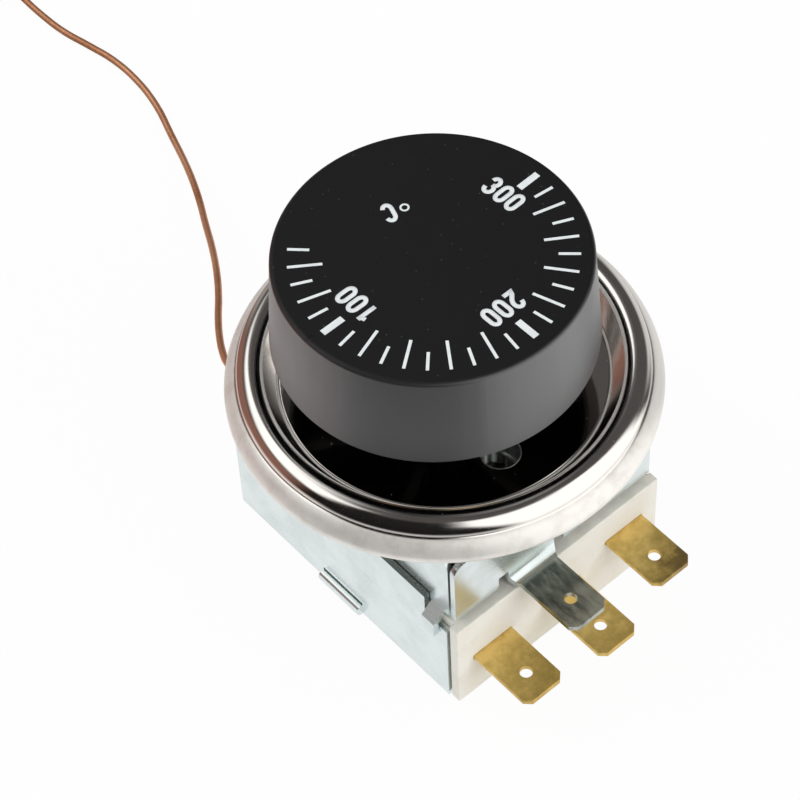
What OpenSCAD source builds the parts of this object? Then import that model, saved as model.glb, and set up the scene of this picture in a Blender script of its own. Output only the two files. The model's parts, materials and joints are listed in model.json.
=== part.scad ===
// Capillary thermostat with a dial knob, a bezel and a changeover switch.
// Origin: on the spindle axis, at the mounting face of the front frame.
// +Z points along the spindle to the knob, -Y to the terminals.

/* [Front frame] */
// Width across the two side flanges
frame_w = 32.6; // [31.4:0.2:36]
// Spindle axis to the outer face of the front flange
frame_front = 21; // [20.4:0.2:23]
// Spindle axis to the outer face of the back flange
frame_back = 20.2; // [19.4:0.2:22]
// Thickness of the folded sheet
sheet_t = 0.8; // [0.7:0.05:1]
// Outside radius of the folds
fold_r = 2.2; // [1.6:0.1:2.6]
// Lower edge of the front flange over the lower edge of the side flanges
front_flange_rise = 0.3; // [0:0.1:1]
// Depth of the side and back flanges below the mounting face
side_flange_h = 13.4; // [12.8:0.1:14.2]
// Circle of the two fixing holes
fixing_pcd = 28; // [26:0.5:29]
// Turn of the fixing holes' line from the front, about the spindle axis
fixing_turn = -13; // [-20:1:20]
// Core diameter of the tapped fixing holes
fixing_d = 3.3; // [3:0.1:3.4]
// Width of each hook over the cover
hook_w = 2.2; // [1.8:0.1:3]
// Length of the hook's flat end
hook_flat = 2; // [1.6:0.1:2.8]

/* [Earth tab] */
// Sideways place of the earth tab
earth_x = -3.8; // [-5:0.1:-3]
// Width of the earth tab
earth_w = 6; // [5.6:0.1:6.4]
// Width of the earth tab's root
earth_root_w = 7.6; // [7:0.1:8.4]
// Reach of the earth tab beyond the front flange
earth_reach = 10.7; // [9.8:0.1:11.6]
// Inside radius of the earth tab's fold
earth_fold_r = 1.4; // [1:0.1:1.8]
// Width of the two relief notches beside the earth tab
relief_w = 1.6; // [1:0.1:2.2]
// Height of the relief notches
relief_h = 2; // [1.4:0.1:2.6]

/* [Rear cover] */
// Depth from the mounting face to the outside of the cover's back
body_depth = 30; // [27.4:0.1:33]
// Height of the cover's walls
cover_h = 18; // [16.4:0.1:19]
// Radius of the cover's back corners
cover_fold_r = 1.1; // [0.9:0.1:2]
// Thickness of the cover's sheet
cover_t = 0.8; // [0.6:0.05:1]
// Length of the lanced ridge
ridge_l = 7.6; // [6:0.2:10]
// Height of the ridge over the cover's side
ridge_out = 1; // [0.8:0.05:1.2]
// Place of the ridge's middle along the side
ridge_y = 0; // [-3:0.5:4]

/* [Terminal block] */
// Gap between the side flanges' lower edge and the block's top
block_gap = 0.8; // [0.5:0.1:1.2]
// Front face of the block beyond the frame's front flange
block_proud = 1; // [0.8:0.1:1.6]
// Length of the block behind its front lip
block_l = 28.8; // [28:0.2:30]
// Wall at the block's front
block_front_wall = 8; // [7:0.2:8.6]
// Wall at the block's back
block_back_wall = 2.4; // [2:0.1:2.6]
// Wall at the block's ends
block_end_wall = 1.5; // [1.2:0.1:1.8]
// Floor of the block
block_floor = 2; // [1.6:0.1:2.4]
// Thickness of the guide board
board_t = 1.5; // [1.2:0.1:1.8]
// Depth of the guide board's top below the block's top
board_drop = 1.9; // [1.6:0.1:2.2]

/* [Terminals] */
// Width of the quick-connect tabs
tab_w = 6.3; // [6.2:0.1:6.4]
// Thickness of the tabs
tab_t = 0.8; // [0.75:0.05:0.85]
// Diameter of the hole in each tab
tab_hole_d = 1.65; // [1.5:0.05:1.8]
// Tip of the tab to the middle of its hole
tab_hole_in = 3.7; // [3.4:0.1:4]
// Cut of the tab's corners
tab_corner = 0.9; // [0.6:0.1:1.2]
// Sideways pitch of the three tabs
tab_pitch = 11.2; // [11:0.1:11.3]
// Depth of the upper terminal below the block's top
upper_drop = 5.2; // [5:0.1:5.4]
// Depth of the common terminal below the block's top
common_drop = 7.7; // [7.6:0.1:7.9]
// Depth of the lower terminal below the block's top
lower_drop = 8.2; // [8.1:0.1:9]
// Reach of the upper terminal beyond the block
upper_reach = 9.2; // [9:0.1:11]
// Reach of the common terminal beyond the block
common_reach = 9.7; // [9:0.1:11]
// Reach of the lower terminal beyond the block
lower_reach = 10.7; // [9:0.1:12]

/* [Switch] */
// Thickness of the snap blade
blade_t = 0.3; // [0.25:0.05:0.35]
// Width of the snap blade
blade_w = 5; // [4:0.2:5.4]
// Height of the snap blade over the common terminal
blade_raise = 0.6; // [0.5:0.05:0.65]
// Open gap at the lower contact
contact_gap = 0.45; // [0.4:0.05:0.5]
// Diameter of the contacts
contact_d = 3; // [2.4:0.1:3.4]
// Height of each head of the moving contact
contact_h = 0.4; // [0.3:0.05:0.45]
// Diameter of the push pin
pin_d = 3; // [2.6:0.1:3.2]
// Diameter of the push pin's collar
pin_collar_d = 5.4; // [5.2:0.1:6]
// Thickness of the push pin's collar
pin_collar_t = 0.6; // [0.5:0.05:0.8]
// Length of the push pin above its collar
pin_head_h = 0.55; // [0.4:0.05:0.9]
// Wire of the pin spring
spring_wire = 0.4; // [0.3:0.05:0.45]
// Turns of the pin spring
spring_turns = 4; // [3:1:5]

/* [Spindle] */
// Diameter of the spindle
spindle_d = 6; // [5.8:0.1:6.2]
// Depth of the spindle's flat from its round side
spindle_flat = 4.6; // [4.4:0.1:4.8]
// Height of the flat's foot over the mounting face
flat_z = 9.4; // [9:0.2:11]
// Diameter of the spindle's thread
thread_d = 5; // [4.6:0.1:5.4]
// Length of the spindle's thread
thread_l = 4; // [3.6:0.1:4.4]
// Diameter of the bush's neck
bush_d = 9.5; // [9:0.1:9.8]
// Height of the bush's neck over the mounting face
bush_h = 5.8; // [5:0.1:6]
// Diameter of the bush's flange
bush_flange_d = 13; // [12:0.2:13.2]
// Thickness of the bush's flange
bush_flange_t = 1.4; // [1.2:0.1:1.6]
// Diameter of the stop collar
stop_d = 12; // [11:0.2:12.6]
// Thickness of the stop collar
stop_t = 1.2; // [1:0.1:1.3]
// Reach of the stop collar's tongue from the axis
stop_reach = 8.4; // [8:0.1:8.6]
// Width of the stop collar's tongue
stop_w = 2.2; // [1.8:0.1:2.4]
// Turn of the spindle from one stop to the other
stop_swing = 235; // [200:5:270]
// Thickness of the friction washer
washer_t = 0.3; // [0.2:0.05:0.35]
// Thickness of the circlip
clip_t = 0.6; // [0.5:0.05:0.7]
// Outside diameter of the circlip and the washer
clip_d = 9; // [8.6:0.1:9.4]

/* [Capsule] */
// Diameter of the capsule
capsule_d = 20; // [18:0.5:21]
// Sheet of the capsule's shells
capsule_t = 0.5; // [0.4:0.05:0.6]
// Depth of the carrier's top below the mounting face
carrier_z = 5.2; // [5:0.1:5.4]
// Thickness of the carrier plate
carrier_t = 1.2; // [1:0.1:1.4]
// Width of the carrier plate
carrier_w = 9; // [8.4:0.2:10]
// Height of the carrier's hub with its plate
carrier_hub_h = 3.6; // [3.4:0.1:3.8]

/* [Knob] */
// Diameter of the knob at its top
knob_top_d = 38.2; // [36:0.2:39]
// Diameter of the knob at its lower edge
knob_low_d = 40; // [38:0.2:40.6]
// Height of the knob's top over the mounting face
knob_z = 24.7; // [23:0.1:27]
// Height of the knob's lower edge over the mounting face
knob_low_z = 11; // [10:0.1:12]
// Radius of the knob's upper edge
knob_edge_r = 0.6; // [0.4:0.1:1]
// Thickness of the knob's top
knob_top_t = 2.4; // [2:0.1:3]
// Thickness of the knob's side wall
knob_wall = 1.8; // [1.4:0.1:2.4]
// Diameter of the knob's hub
hub_d = 12.4; // [11.6:0.2:14]
// Height of the hub's foot over the mounting face
hub_z = 7.4; // [7.2:0.1:8]
// Number of ribs under the knob
rib_count = 6; // [4:1:8]
// Thickness of the ribs
rib_t = 1.2; // [1:0.1:1.6]

/* [Bezel] */
// Sideways shift of the loose bezel on the spindle
bezel_side = 0.6; // [0:0.1:0.8]
// Shift of the loose bezel towards the terminals
bezel_fore = 0.6; // [0:0.1:0.8]
// Outside diameter of the bezel ring
bezel_d = 54.1; // [53:0.1:56]
// Thickness of the ring's sheet
ring_t = 0.5; // [0.4:0.05:0.6]
// Radius of the roll at the foot of the ring's skirt
skirt_r = 1.6; // [1.4:0.1:1.8]
// Height of the middle of that roll over the mounting face
skirt_z = 1; // [0.9:0.1:1.3]
// Distance of the ledge over the skirt from the ring's edge
ledge_in = 0.7; // [0.5:0.1:0.9]
// Height of the ledge's outer edge over the mounting face
ledge_z = 2.9; // [2.7:0.1:3.1]
// Radius of the ring's crest
crest_r = 1.9; // [1.7:0.1:2.1]
// Distance of the crest's middle from the ring's edge
crest_in = 3.5; // [3.3:0.1:3.7]
// Height of the middle of the crest's round over the mounting face
crest_z = 3.5; // [3.3:0.1:3.8]
// Diameter of the disc in the bezel
disc_d = 40.4; // [40:0.1:41.4]
// Thickness of the disc in the bezel
disc_t = 0.6; // [0.5:0.05:0.7]
// Height of the disc's face over the mounting face
disc_z = 2.2; // [2:0.1:3]
// Diameter of the dished seat in the disc's middle
dish_d = 18; // [16:0.5:20]
// Diameter of the screw holes in the disc
disc_hole_d = 5; // [4.4:0.1:5.4]

/* [Capillary and bulb] */
// Diameter of the capillary
tube_d = 1; // [1:0.1:1.2]
// Middle diameter of the stored coil
coil_d = 17; // [16:0.5:18]
// Width and height of the coil's bundle
coil_bundle = 4.3; // [4:0.1:4.6]
// Diameter of the sensor bulb
bulb_d = 6; // [5:0.1:6.5]
// Length of the sensor bulb
bulb_l = 66; // [50:1:80]
// Width of the coil's tie
tie_w = 2; // [1.5:0.1:3]

/* [Hidden] */
$fn = 64;

// Clearances
run_fit = 0.05;
seat_fit = 0.02;
loose_fit = 0.1;
over = 0.5;

// Levels, all counted from the mounting face
plate_under = -sheet_t;
bush_under = plate_under - bush_flange_t;
stop_top = bush_under - run_fit;
stop_under = stop_top - stop_t;
thread_end = stop_under - thread_l;
carrier_top = -carrier_z;
hub_under = carrier_top - carrier_hub_h;
washer_z = bush_h;
clip_z = washer_z + washer_t + run_fit;
cover_floor = -body_depth;
cover_top = cover_floor + cover_h;
cover_inside = cover_floor + cover_t;
block_foot = cover_floor + loose_fit;
block_top = -side_flange_h - block_gap;
front_flange_h = side_flange_h - front_flange_rise;
cavity_floor = cover_inside + loose_fit + block_floor;
board_top = block_top - board_drop;
board_under = board_top - board_t;
upper_z = block_top - upper_drop;
common_z = block_top - common_drop;
lower_z = block_top - lower_drop;
blade_under = common_z + blade_raise;
blade_top = blade_under + blade_t;
capsule_top = hub_under;
rim_drop = 0.8;
rim_top = capsule_top - capsule_t - rim_drop;
rim_low = rim_top - 1.6 * capsule_t;
stud_h = 1.2;
stud_low = rim_low - stud_h;
pin_top = stud_low - run_fit;
pin_low = blade_top + 2 * seat_fit;
pin_nose_h = 0.8;
pin_collar_z = pin_top - pin_head_h - pin_collar_t;
spring_h = pin_collar_z - board_top;

// Widths and places
inner_w = frame_w - 2 * sheet_t;
cover_gap = loose_fit;
cover_w = frame_w + 2 * cover_gap + 2 * cover_t;
cover_back = frame_back + cover_gap + cover_t;
flange_gap = 0.4;
hook_in = 0.9;
side_front = frame_front - sheet_t - flange_gap;
side_back = frame_back - sheet_t - flange_gap;
block_face = frame_front + block_proud;
lip_back = frame_front - sheet_t + 0.1;
lip_w = cover_w - 0.4;
block_w = cover_w - 2 * cover_t - 2 * loose_fit;
block_back = -lip_back + block_l;
cavity_front = -block_face + block_front_wall;
cavity_back = block_back - block_back_wall;
cavity_w = block_w - 2 * block_end_wall;
board_ledge = 1.2;
cover_front = frame_front - sheet_t + 0.05;
pivot_x = -tab_pitch + tab_w / 2 - 0.4;
contact_x = tab_pitch;
stop_margin = 14;
stop_half_gap = (360 - stop_swing) / 2 - stop_margin;
stop_rest = 90 - stop_half_gap - stop_margin;
lower_x = 0.5;
post_w = blade_w + 2;
bar_w = 4;
turn_y = cavity_front + 0.8;

// Place, top and inner end of the three terminals
strips = [
    [-tab_pitch, common_z, post_w / 2],
    [lower_x, lower_z, turn_y + bar_w],
    [tab_pitch, upper_z, contact_d / 2 + 1]
];
stud_d = 5;
stub_r = capsule_d / 2 + run_fit;
grommet_x = -9;
grommet_z = cover_top;
grommet_d = 3.4;
grommet_flange_d = 5;
grommet_flange_t = 0.8;
exit_y = cover_back + grommet_flange_t;
coil_x = 7.2;
coil_y = 127;
coil_low = cover_floor + 0.35;
bulb_heading = 233;
bulb_neck = [-7, 112.4];
bulb_neck_l = 4;
bulb_z = cover_floor + bulb_d / 2;

// Route of the capillary from the grommet to the stored coil
lead_route = [
    [grommet_x, exit_y + loose_fit, grommet_z], [grommet_x, exit_y + 1.2, grommet_z], [-9.3, 24.6, -12.5],
    [-10.4, 25.9, -13.3], [-11, 27.6, -14.1], [-10.7, 29.6, -14.9], [-9.6, 32, -15.8], [-7.9, 34.8, -16.9],
    [-5.2, 38.6, -18.6], [-2.2, 42.4, -20.3], [1.1, 47, -22.2], [4.3, 52.1, -24.1], [7.4, 57.7, -25.9],
    [10.5, 63.3, -27.4], [13.4, 69.5, -28.6], [16, 76.5, -29.3], [18.1, 82.7, -29.4], [19.1, 88.5, -29.4],
    [19.1, 94.1, -29.4], [18.3, 98.7, -29.4], [17.3, 103.7, -29.4], [17, 108.6, -29.4],
    [17, 113.8, -29.4], [17.1, 119, -29.3], [17.1, 123.4, -29.1]
];

// Route from the coil to the neck of the bulb
tail_route = [
    [-2.8, 123.4, -28.9], [-2.9, 121, -28.7], [-3.6, 118, -28.2], [-4.9, 115.4, -27.5],
    [bulb_neck[0], bulb_neck[1], bulb_z]
];

// Route of the capillary inside the body, from the capsule's rim to the grommet
stub_route = [
    [stub_r * cos(118), stub_r * sin(118), rim_top - 0.3],
    [-6, 11.2, rim_top - 0.5], [-7.6, 13.6, rim_top - 1],
    [-8.7, 16, grommet_z + 0.2], [grommet_x, frame_back - sheet_t - 0.3, grommet_z]
];

// Point on the smooth curve through a, b, c and d, from b to c as t goes from 0 to 1
function curve_point(a, b, c, d, t) =
    0.5 * (2 * b + (c - a) * t + (2 * a - 5 * b + 4 * c - d) * t * t
        + (3 * b - a - 3 * c + d) * t * t * t);

// Smooth route through the points of p, with n steps between neighbours
function smooth_route(p, n) = [
    for (i = [0:len(p) - 2]) for (k = [0:n - 1])
        curve_point(p[max(i - 1, 0)], p[i], p[i + 1], p[min(i + 2, len(p) - 1)], k / n),
    p[len(p) - 1]
];

// Points of a compression spring's wire, radius r, from height z0 up
function spring_route(r, z0, h, turns, n) = [
    for (i = [0:turns * n]) [r * cos(360 * i / n), r * sin(360 * i / n), z0 + h * i / (turns * n)]
];

// Points of an arc about c, radius r, from angle a0 to a1
function arc(c, r, a0, a1, n) = [
    for (i = [0:n]) c + r * [cos(a0 + (a1 - a0) * i / n), sin(a0 + (a1 - a0) * i / n)]
];

// Left-hand normal of the step from a to b
function step_normal(a, b) = [a[1] - b[1], b[0] - a[0]] / norm(b - a);

// The path p moved sideways by t
function offset_path(p, t) = [
    for (i = [0:len(p) - 1])
        let (
            before = step_normal(p[max(i - 1, 0)], p[max(i, 1)]),
            after = step_normal(p[min(i, len(p) - 2)], p[min(i + 1, len(p) - 1)]),
            mean = before + after
        )
        p[i] + 2 * t * mean / (mean * mean)
];

// Closed strip of thickness t along the path p
function strip(p, t) =
    let (other = offset_path(p, t))
    concat(p, [for (i = [len(p) - 1:-1:0]) other[i]]);

// Round wire of diameter d along the points p
module wire(p, d, sides = 8) {
    last = len(p) - 1;
    points = [
        for (i = [0:last])
            let (
                t = p[min(i + 1, last)] - p[max(i - 1, 0)],
                u = cross(t, [0, 0, 1]) / norm(cross(t, [0, 0, 1])),
                v = cross(u, t) / norm(cross(u, t))
            )
            for (k = [0:sides - 1])
                p[i] + d / 2 * (cos(360 * k / sides) * u + sin(360 * k / sides) * v)
    ];
    walls = [
        for (i = [0:last - 1]) for (k = [0:sides - 1])
            let (j = (k + 1) % sides)
            [i * sides + k, i * sides + j, (i + 1) * sides + j, (i + 1) * sides + k]
    ];
    first_cap = [for (k = [sides - 1:-1:0]) k];
    last_cap = [for (k = [0:sides - 1]) last * sides + k];
    polyhedron(points, concat(walls, [first_cap, last_cap]));
}

// Flat outline with its top edge on the X axis, w wide, h deep, upper corners rounded
module top_rounded(w, h, r) {
    translate([-w / 2, -h])
        square([w, h - r]);
    translate([r - w / 2, -r])
        square([w - 2 * r, r]);
    for (side = [-1, 1])
        translate([side * (w / 2 - r), -r])
            circle(r);
}

// Section of a folded channel, w wide outside and h deep
module channel_section(w, h) {
    difference() {
        top_rounded(w, h, fold_r);
        translate([0, -sheet_t])
            top_rounded(w - 2 * sheet_t, h, fold_r - sheet_t);
    }
}

// Extrusion along Y, from y0 to y1, of an outline in the XZ plane
module along_y(y0, y1) {
    translate([0, y1, 0])
        rotate([90, 0, 0])
            linear_extrude(height = y1 - y0)
                children();
}

// Extrusion along X, from x0 to x1, of an outline in the YZ plane
module along_x(x0, x1) {
    translate([x0, 0, 0])
        rotate([90, 0, 90])
            linear_extrude(height = x1 - x0)
                children();
}

// Block from corner a to corner b
module span(a, b) {
    translate(a)
        cube(b - a);
}

// Places children at the two fixing holes
module at_fixings() {
    for (turn = [0, 180])
        rotate(fixing_turn - 90 + turn)
            translate([fixing_pcd / 2, 0, 0])
                children();
}

// Plate and folds of the frame, with open corners
module frame_shell() {
    depth = frame_front + frame_back;
    middle = (frame_back - frame_front) / 2;
    along_y(fold_r - frame_front, frame_back - fold_r)
        channel_section(frame_w, fold_r + over);
    along_x(fold_r - frame_w / 2, frame_w / 2 - fold_r)
        translate([middle, 0])
            channel_section(depth, fold_r + over);
    for (side = [-1, 1])
        along_x((side * (frame_w - sheet_t) - sheet_t) / 2, (side * (frame_w - sheet_t) + sheet_t) / 2)
            translate([(side_back - side_front) / 2, -fold_r])
                top_rounded(side_front + side_back, side_flange_h - fold_r, fold_r * 0.7);
    along_y(-frame_front, sheet_t - frame_front)
        translate([0, -fold_r])
            top_rounded(frame_w, front_flange_h - fold_r, fold_r * 0.7);
    along_y(frame_back - sheet_t, frame_back)
        translate([0, -fold_r])
            top_rounded(frame_w, side_flange_h - fold_r, fold_r * 0.7);
}

// Hook that steps out of a side flange and lies over the cover
module hook() {
    step = cover_t + 2 * cover_gap + sheet_t;
    inside = inner_w / 2;
    start = -side_flange_h + over;
    bend = -side_flange_h;
    low = bend - step * 0.9;
    along_y(hook_in - side_front, hook_in + hook_w - side_front)
        polygon([
            [inside, start], [inside, bend], [inside + step, low], [inside + step, low - hook_flat],
            [inside + step + sheet_t, low - hook_flat], [inside + step + sheet_t, low + 0.5],
            [inside + sheet_t, bend + 0.5], [inside + sheet_t, start]
        ]);
}

// Section of the earth tab's fold in the YZ plane, from the flange down and out
module fold_section() {
    fold_out = earth_fold_r + sheet_t;
    difference() {
        circle(fold_out);
        circle(earth_fold_r);
        translate([-2 * fold_out, 0])
            square([4 * fold_out, 2 * fold_out]);
        translate([-2 * fold_out, -2 * fold_out])
            square([2 * fold_out, 4 * fold_out]);
    }
}

// Earth tab folded out of the front flange, its root wider than its blade
module earth_tab() {
    tab_top = -front_flange_h;
    fold_z = tab_top + earth_fold_r;
    fold_l = earth_fold_r + sheet_t;
    intersection() {
        translate([0, -frame_front - earth_fold_r, fold_z])
            along_x(earth_x - earth_root_w / 2, earth_x + earth_root_w / 2)
                fold_section();
        translate([earth_x, sheet_t - frame_front, tab_top - 2 * sheet_t])
            linear_extrude(height = 3 * fold_l)
                polygon([
                    [-earth_root_w / 2, 0], [-earth_root_w / 2, -sheet_t], [-earth_w / 2, -fold_l],
                    [earth_w / 2, -fold_l], [earth_root_w / 2, -sheet_t], [earth_root_w / 2, 0]
                ]);
    }
    translate([earth_x, -frame_front - earth_fold_r, tab_top - sheet_t])
        linear_extrude(height = sheet_t)
            tab_outline(earth_w, earth_reach - earth_fold_r, tab_hole_in);
}

// Outline of a tab of width w from its root at the origin to its tip at -Y
module tab_outline(w, l, hole_in) {
    difference() {
        polygon([
            [-w / 2, 0], [-w / 2, tab_corner - l], [tab_corner - w / 2, -l],
            [w / 2 - tab_corner, -l], [w / 2, tab_corner - l], [w / 2, 0]
        ]);
        translate([0, hole_in - l])
            circle(d = tab_hole_d);
    }
}

module front_frame() {
    stop_r = bush_flange_d / 2 + 0.4;
    relief_off = (earth_root_w + relief_w) / 2;
    slot_r = grommet_d / 2 + run_fit;
    color("gainsboro")
        difference() {
            union() {
                difference() {
                    frame_shell();
                    span([earth_x - earth_root_w / 2, -frame_front - over, -front_flange_h - over],
                        [earth_x + earth_root_w / 2, sheet_t + over - frame_front,
                            earth_fold_r - front_flange_h]);
                }
                for (side = [0, 1])
                    mirror([side, 0, 0])
                        hook();
                earth_tab();
                at_fixings()
                    translate([0, 0, plate_under - 1.4])
                        cylinder(d = fixing_d + 2, h = 1.4 + over * sheet_t);
                for (side = [-1, 1])
                    rotate(90 + side * stop_half_gap)
                        span([stop_r, -sheet_t / 2, stop_under - over],
                            [stop_r + 2, sheet_t / 2, plate_under / 2]);
            }
            at_fixings()
                translate([0, 0, plate_under - 2])
                    cylinder(d = fixing_d, h = sheet_t + 3);
            translate([0, 0, plate_under - over])
                cylinder(d = bush_d + 2 * seat_fit, h = sheet_t + 2 * over);
            for (side = [-1, 1])
                translate([earth_x + side * relief_off, 0, 0])
                    span([-relief_w / 2, -frame_front - over, -front_flange_h - over],
                        [relief_w / 2, over + sheet_t - frame_front, relief_h - front_flange_h]);
            translate([grommet_x, 0, 0])
                span([-slot_r, frame_back - sheet_t - over, -side_flange_h - over],
                    [slot_r, frame_back + over, grommet_z + slot_r]);
        }
}

// Outline of the cover, w wide and open to the front, its back corners rounded
module cover_outline(w, back, r) {
    translate([-w / 2, -cover_front])
        square([w, cover_front + back - r]);
    translate([r - w / 2, back - 2 * r])
        square([w - 2 * r, 2 * r]);
    for (side = [-1, 1])
        translate([side * (w / 2 - r), back - r])
            circle(r);
}

module rear_cover() {
    ridge_z = cover_floor + ridge_out;
    notch_low = -side_flange_h - 2.2;
    color("gainsboro")
        difference() {
            union() {
                translate([0, 0, cover_floor])
                    linear_extrude(height = cover_h)
                        cover_outline(cover_w, cover_back, cover_fold_r);
                translate([-cover_w / 2, ridge_y + ridge_l / 2, ridge_z])
                    rotate([90, 0, 0])
                        cylinder(r = ridge_out, h = ridge_l);
            }
            translate([0, 0, cover_inside])
                linear_extrude(height = cover_h)
                    cover_outline(cover_w - 2 * cover_t, cover_back - cover_t, cover_fold_r - cover_t);
            translate([-cover_w / 2, ridge_y + ridge_l / 2 - 0.5, ridge_z])
                rotate([90, 0, 0])
                    cylinder(r = ridge_out - 0.5, h = ridge_l - 1);
            span([-cover_w / 2 - ridge_out - over, ridge_y - ridge_l / 2, ridge_z + ridge_out - 0.1],
                [over + cover_t - cover_w / 2, ridge_y + ridge_l / 2, ridge_z + ridge_out + 0.3]);
            for (side = [-1, 1])
                span([side * cover_w / 2 - 1, -cover_front - over, notch_low],
                    [side * cover_w / 2 + 1, hook_in + hook_w + 0.4 - side_front, cover_top + over]);
            span([grommet_x - grommet_d / 2 - run_fit, cover_back - cover_t - over,
                    grommet_z - grommet_d / 2 - run_fit],
                [grommet_x + grommet_d / 2 + run_fit, cover_back + over, cover_top + over]);
        }
}

module terminal_block() {
    slot_w = tab_w + 2 * seat_fit;
    fit = [seat_fit, seat_fit, seat_fit];
    color("linen")
        difference() {
            union() {
                span([-lip_w / 2, -block_face, block_foot], [lip_w / 2, -lip_back - 0.2, block_top]);
                span([-block_w / 2, -lip_back - 0.3, cover_inside + loose_fit],
                    [block_w / 2, block_back, block_top]);
            }
            span([-cavity_w / 2, cavity_front, cavity_floor],
                [cavity_w / 2, cavity_back, block_top + over]);
            span([-cavity_w / 2, cavity_front - board_ledge, board_under],
                [cavity_w / 2, cavity_back + board_ledge, block_top + over]);
            for (slot = strips)
                span([slot[0] - slot_w / 2, -block_face - over, slot[1] - tab_t - seat_fit],
                    [slot[0] + slot_w / 2, slot[2] + seat_fit, slot[1] + seat_fit]);
            span([contact_x - bar_w / 2, turn_y, lower_z - tab_t] - fit,
                [contact_x + bar_w / 2, bar_w / 2, lower_z] + fit);
        }
}

module guide_board() {
    color("saddlebrown")
        difference() {
            span([loose_fit - cavity_w / 2, cavity_front - board_ledge + loose_fit, board_under],
                [cavity_w / 2 - loose_fit, cavity_back + board_ledge - loose_fit, board_top]);
            translate([0, 0, board_under - over])
                cylinder(d = pin_d + 2 * run_fit, h = board_t + 2 * over);
        }
}

// Flat strip through the block, from the tip of its tab to its end inside
module terminal_strip(place, reach) {
    translate([place[0], place[2], place[1] - tab_t])
        linear_extrude(height = tab_t)
            tab_outline(tab_w, place[2] + block_face + reach, tab_hole_in);
}

module common_terminal() {
    wall_t = 0.8;
    slit_w = blade_w * 0.6 + 2 * loose_fit;
    color("darkgoldenrod")
        difference() {
            union() {
                terminal_strip(strips[0], common_reach);
                span([pivot_x - wall_t / 2, -post_w / 2, common_z - seat_fit],
                    [pivot_x + wall_t / 2, post_w / 2, blade_top + 1]);
            }
            span([pivot_x - wall_t, -slit_w / 2, blade_under - loose_fit],
                [pivot_x + wall_t, slit_w / 2, blade_top + loose_fit]);
        }
}

module lower_terminal() {
    color("darkgoldenrod")
        union() {
            terminal_strip(strips[1], lower_reach);
            span([lower_x, turn_y, lower_z - tab_t],
                [contact_x + bar_w / 2, turn_y + bar_w, lower_z]);
            span([contact_x - bar_w / 2, turn_y, lower_z - tab_t],
                [contact_x + bar_w / 2, bar_w / 2, lower_z]);
        }
}

module upper_terminal() {
    color("darkgoldenrod")
        terminal_strip(strips[2], upper_reach);
}

module upper_contact() {
    color("silver")
        translate([contact_x, 0, blade_top + contact_h + seat_fit])
            cylinder(d = contact_d, h = upper_z - tab_t - blade_top - contact_h - seat_fit);
}

module lower_contact() {
    color("silver")
        translate([contact_x, 0, lower_z])
            cylinder(d = contact_d, h = blade_under - contact_h - contact_gap - lower_z);
}

module snap_blade() {
    tongue_w = blade_w * 0.6;
    bead_r = blade_t / 2 + loose_fit - run_fit;
    color("peru")
        difference() {
            union() {
                span([pivot_x - 1.2, -tongue_w / 2, blade_under],
                    [pivot_x + 1, tongue_w / 2, blade_top]);
                translate([pivot_x, tongue_w / 2, blade_under + blade_t / 2])
                    rotate([90, 0, 0])
                        cylinder(r = bead_r, h = tongue_w);
                span([pivot_x + 0.8, -blade_w / 2, blade_under], [contact_x, blade_w / 2, blade_top]);
                translate([contact_x, 0, blade_under])
                    cylinder(d = blade_w, h = blade_t);
            }
            translate([contact_x, 0, blade_under - over])
                cylinder(d = contact_d / 2, h = blade_t + 2 * over);
        }
}

module moving_contact() {
    color("silver")
        translate([contact_x, 0, 0]) {
            translate([0, 0, blade_top])
                cylinder(d = contact_d, h = contact_h);
            translate([0, 0, blade_under - contact_h])
                cylinder(d = contact_d, h = contact_h);
            translate([0, 0, blade_under - contact_h])
                cylinder(d = contact_d / 2 - 2 * seat_fit, h = blade_t + 2 * contact_h);
        }
}

module push_pin() {
    color("ivory")
        union() {
            translate([0, 0, pin_low])
                cylinder(d = pin_d / 2, h = pin_top - pin_low);
            translate([0, 0, pin_low + pin_nose_h])
                cylinder(d = pin_d, h = pin_top - pin_low - pin_nose_h);
            translate([0, 0, pin_collar_z])
                cylinder(d = pin_collar_d, h = pin_collar_t);
        }
}

module pin_spring() {
    gap = spring_wire / 2 + seat_fit;
    r = pin_d / 2 + spring_wire / 2 + 0.3;
    color("lightsteelblue")
        wire(spring_route(r, board_top + gap, spring_h - 2 * gap, spring_turns, 12), spring_wire, 6);
}

module spindle_bush() {
    color("goldenrod")
        difference() {
            union() {
                translate([0, 0, bush_under])
                    cylinder(d = bush_flange_d, h = bush_flange_t);
                translate([0, 0, bush_under])
                    cylinder(d = bush_d, h = bush_h - bush_under);
            }
            translate([0, 0, bush_under - over])
                cylinder(d = spindle_d + 2 * run_fit, h = bush_h - bush_under + 2 * over);
        }
}

module control_spindle() {
    top = knob_z - knob_top_t - 0.4;
    groove_h = clip_t + 2 * seat_fit;
    color("lightgray")
        difference() {
            union() {
                translate([0, 0, stop_under])
                    cylinder(d = spindle_d, h = top - stop_under);
                translate([0, 0, thread_end])
                    cylinder(d = thread_d, h = thread_l + over);
            }
            span([-spindle_d, spindle_flat - spindle_d / 2, flat_z], [spindle_d, spindle_d, top + over]);
            translate([0, 0, clip_z - seat_fit])
                difference() {
                    cylinder(d = spindle_d + 1, h = groove_h);
                    translate([0, 0, -over])
                        cylinder(d = spindle_d - 1, h = groove_h + 2 * over);
                }
        }
}

module stop_collar() {
    color("slategray")
        difference() {
            union() {
                translate([0, 0, stop_under])
                    cylinder(d = stop_d, h = stop_t);
                rotate(stop_rest)
                    translate([spindle_d / 2 + 1, -stop_w / 2, stop_under])
                        cube([stop_reach - spindle_d / 2 - 1, stop_w, stop_t]);
            }
            translate([0, 0, stop_under - over])
                cylinder(d = spindle_d + seat_fit, h = stop_t + 2 * over);
        }
}

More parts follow.
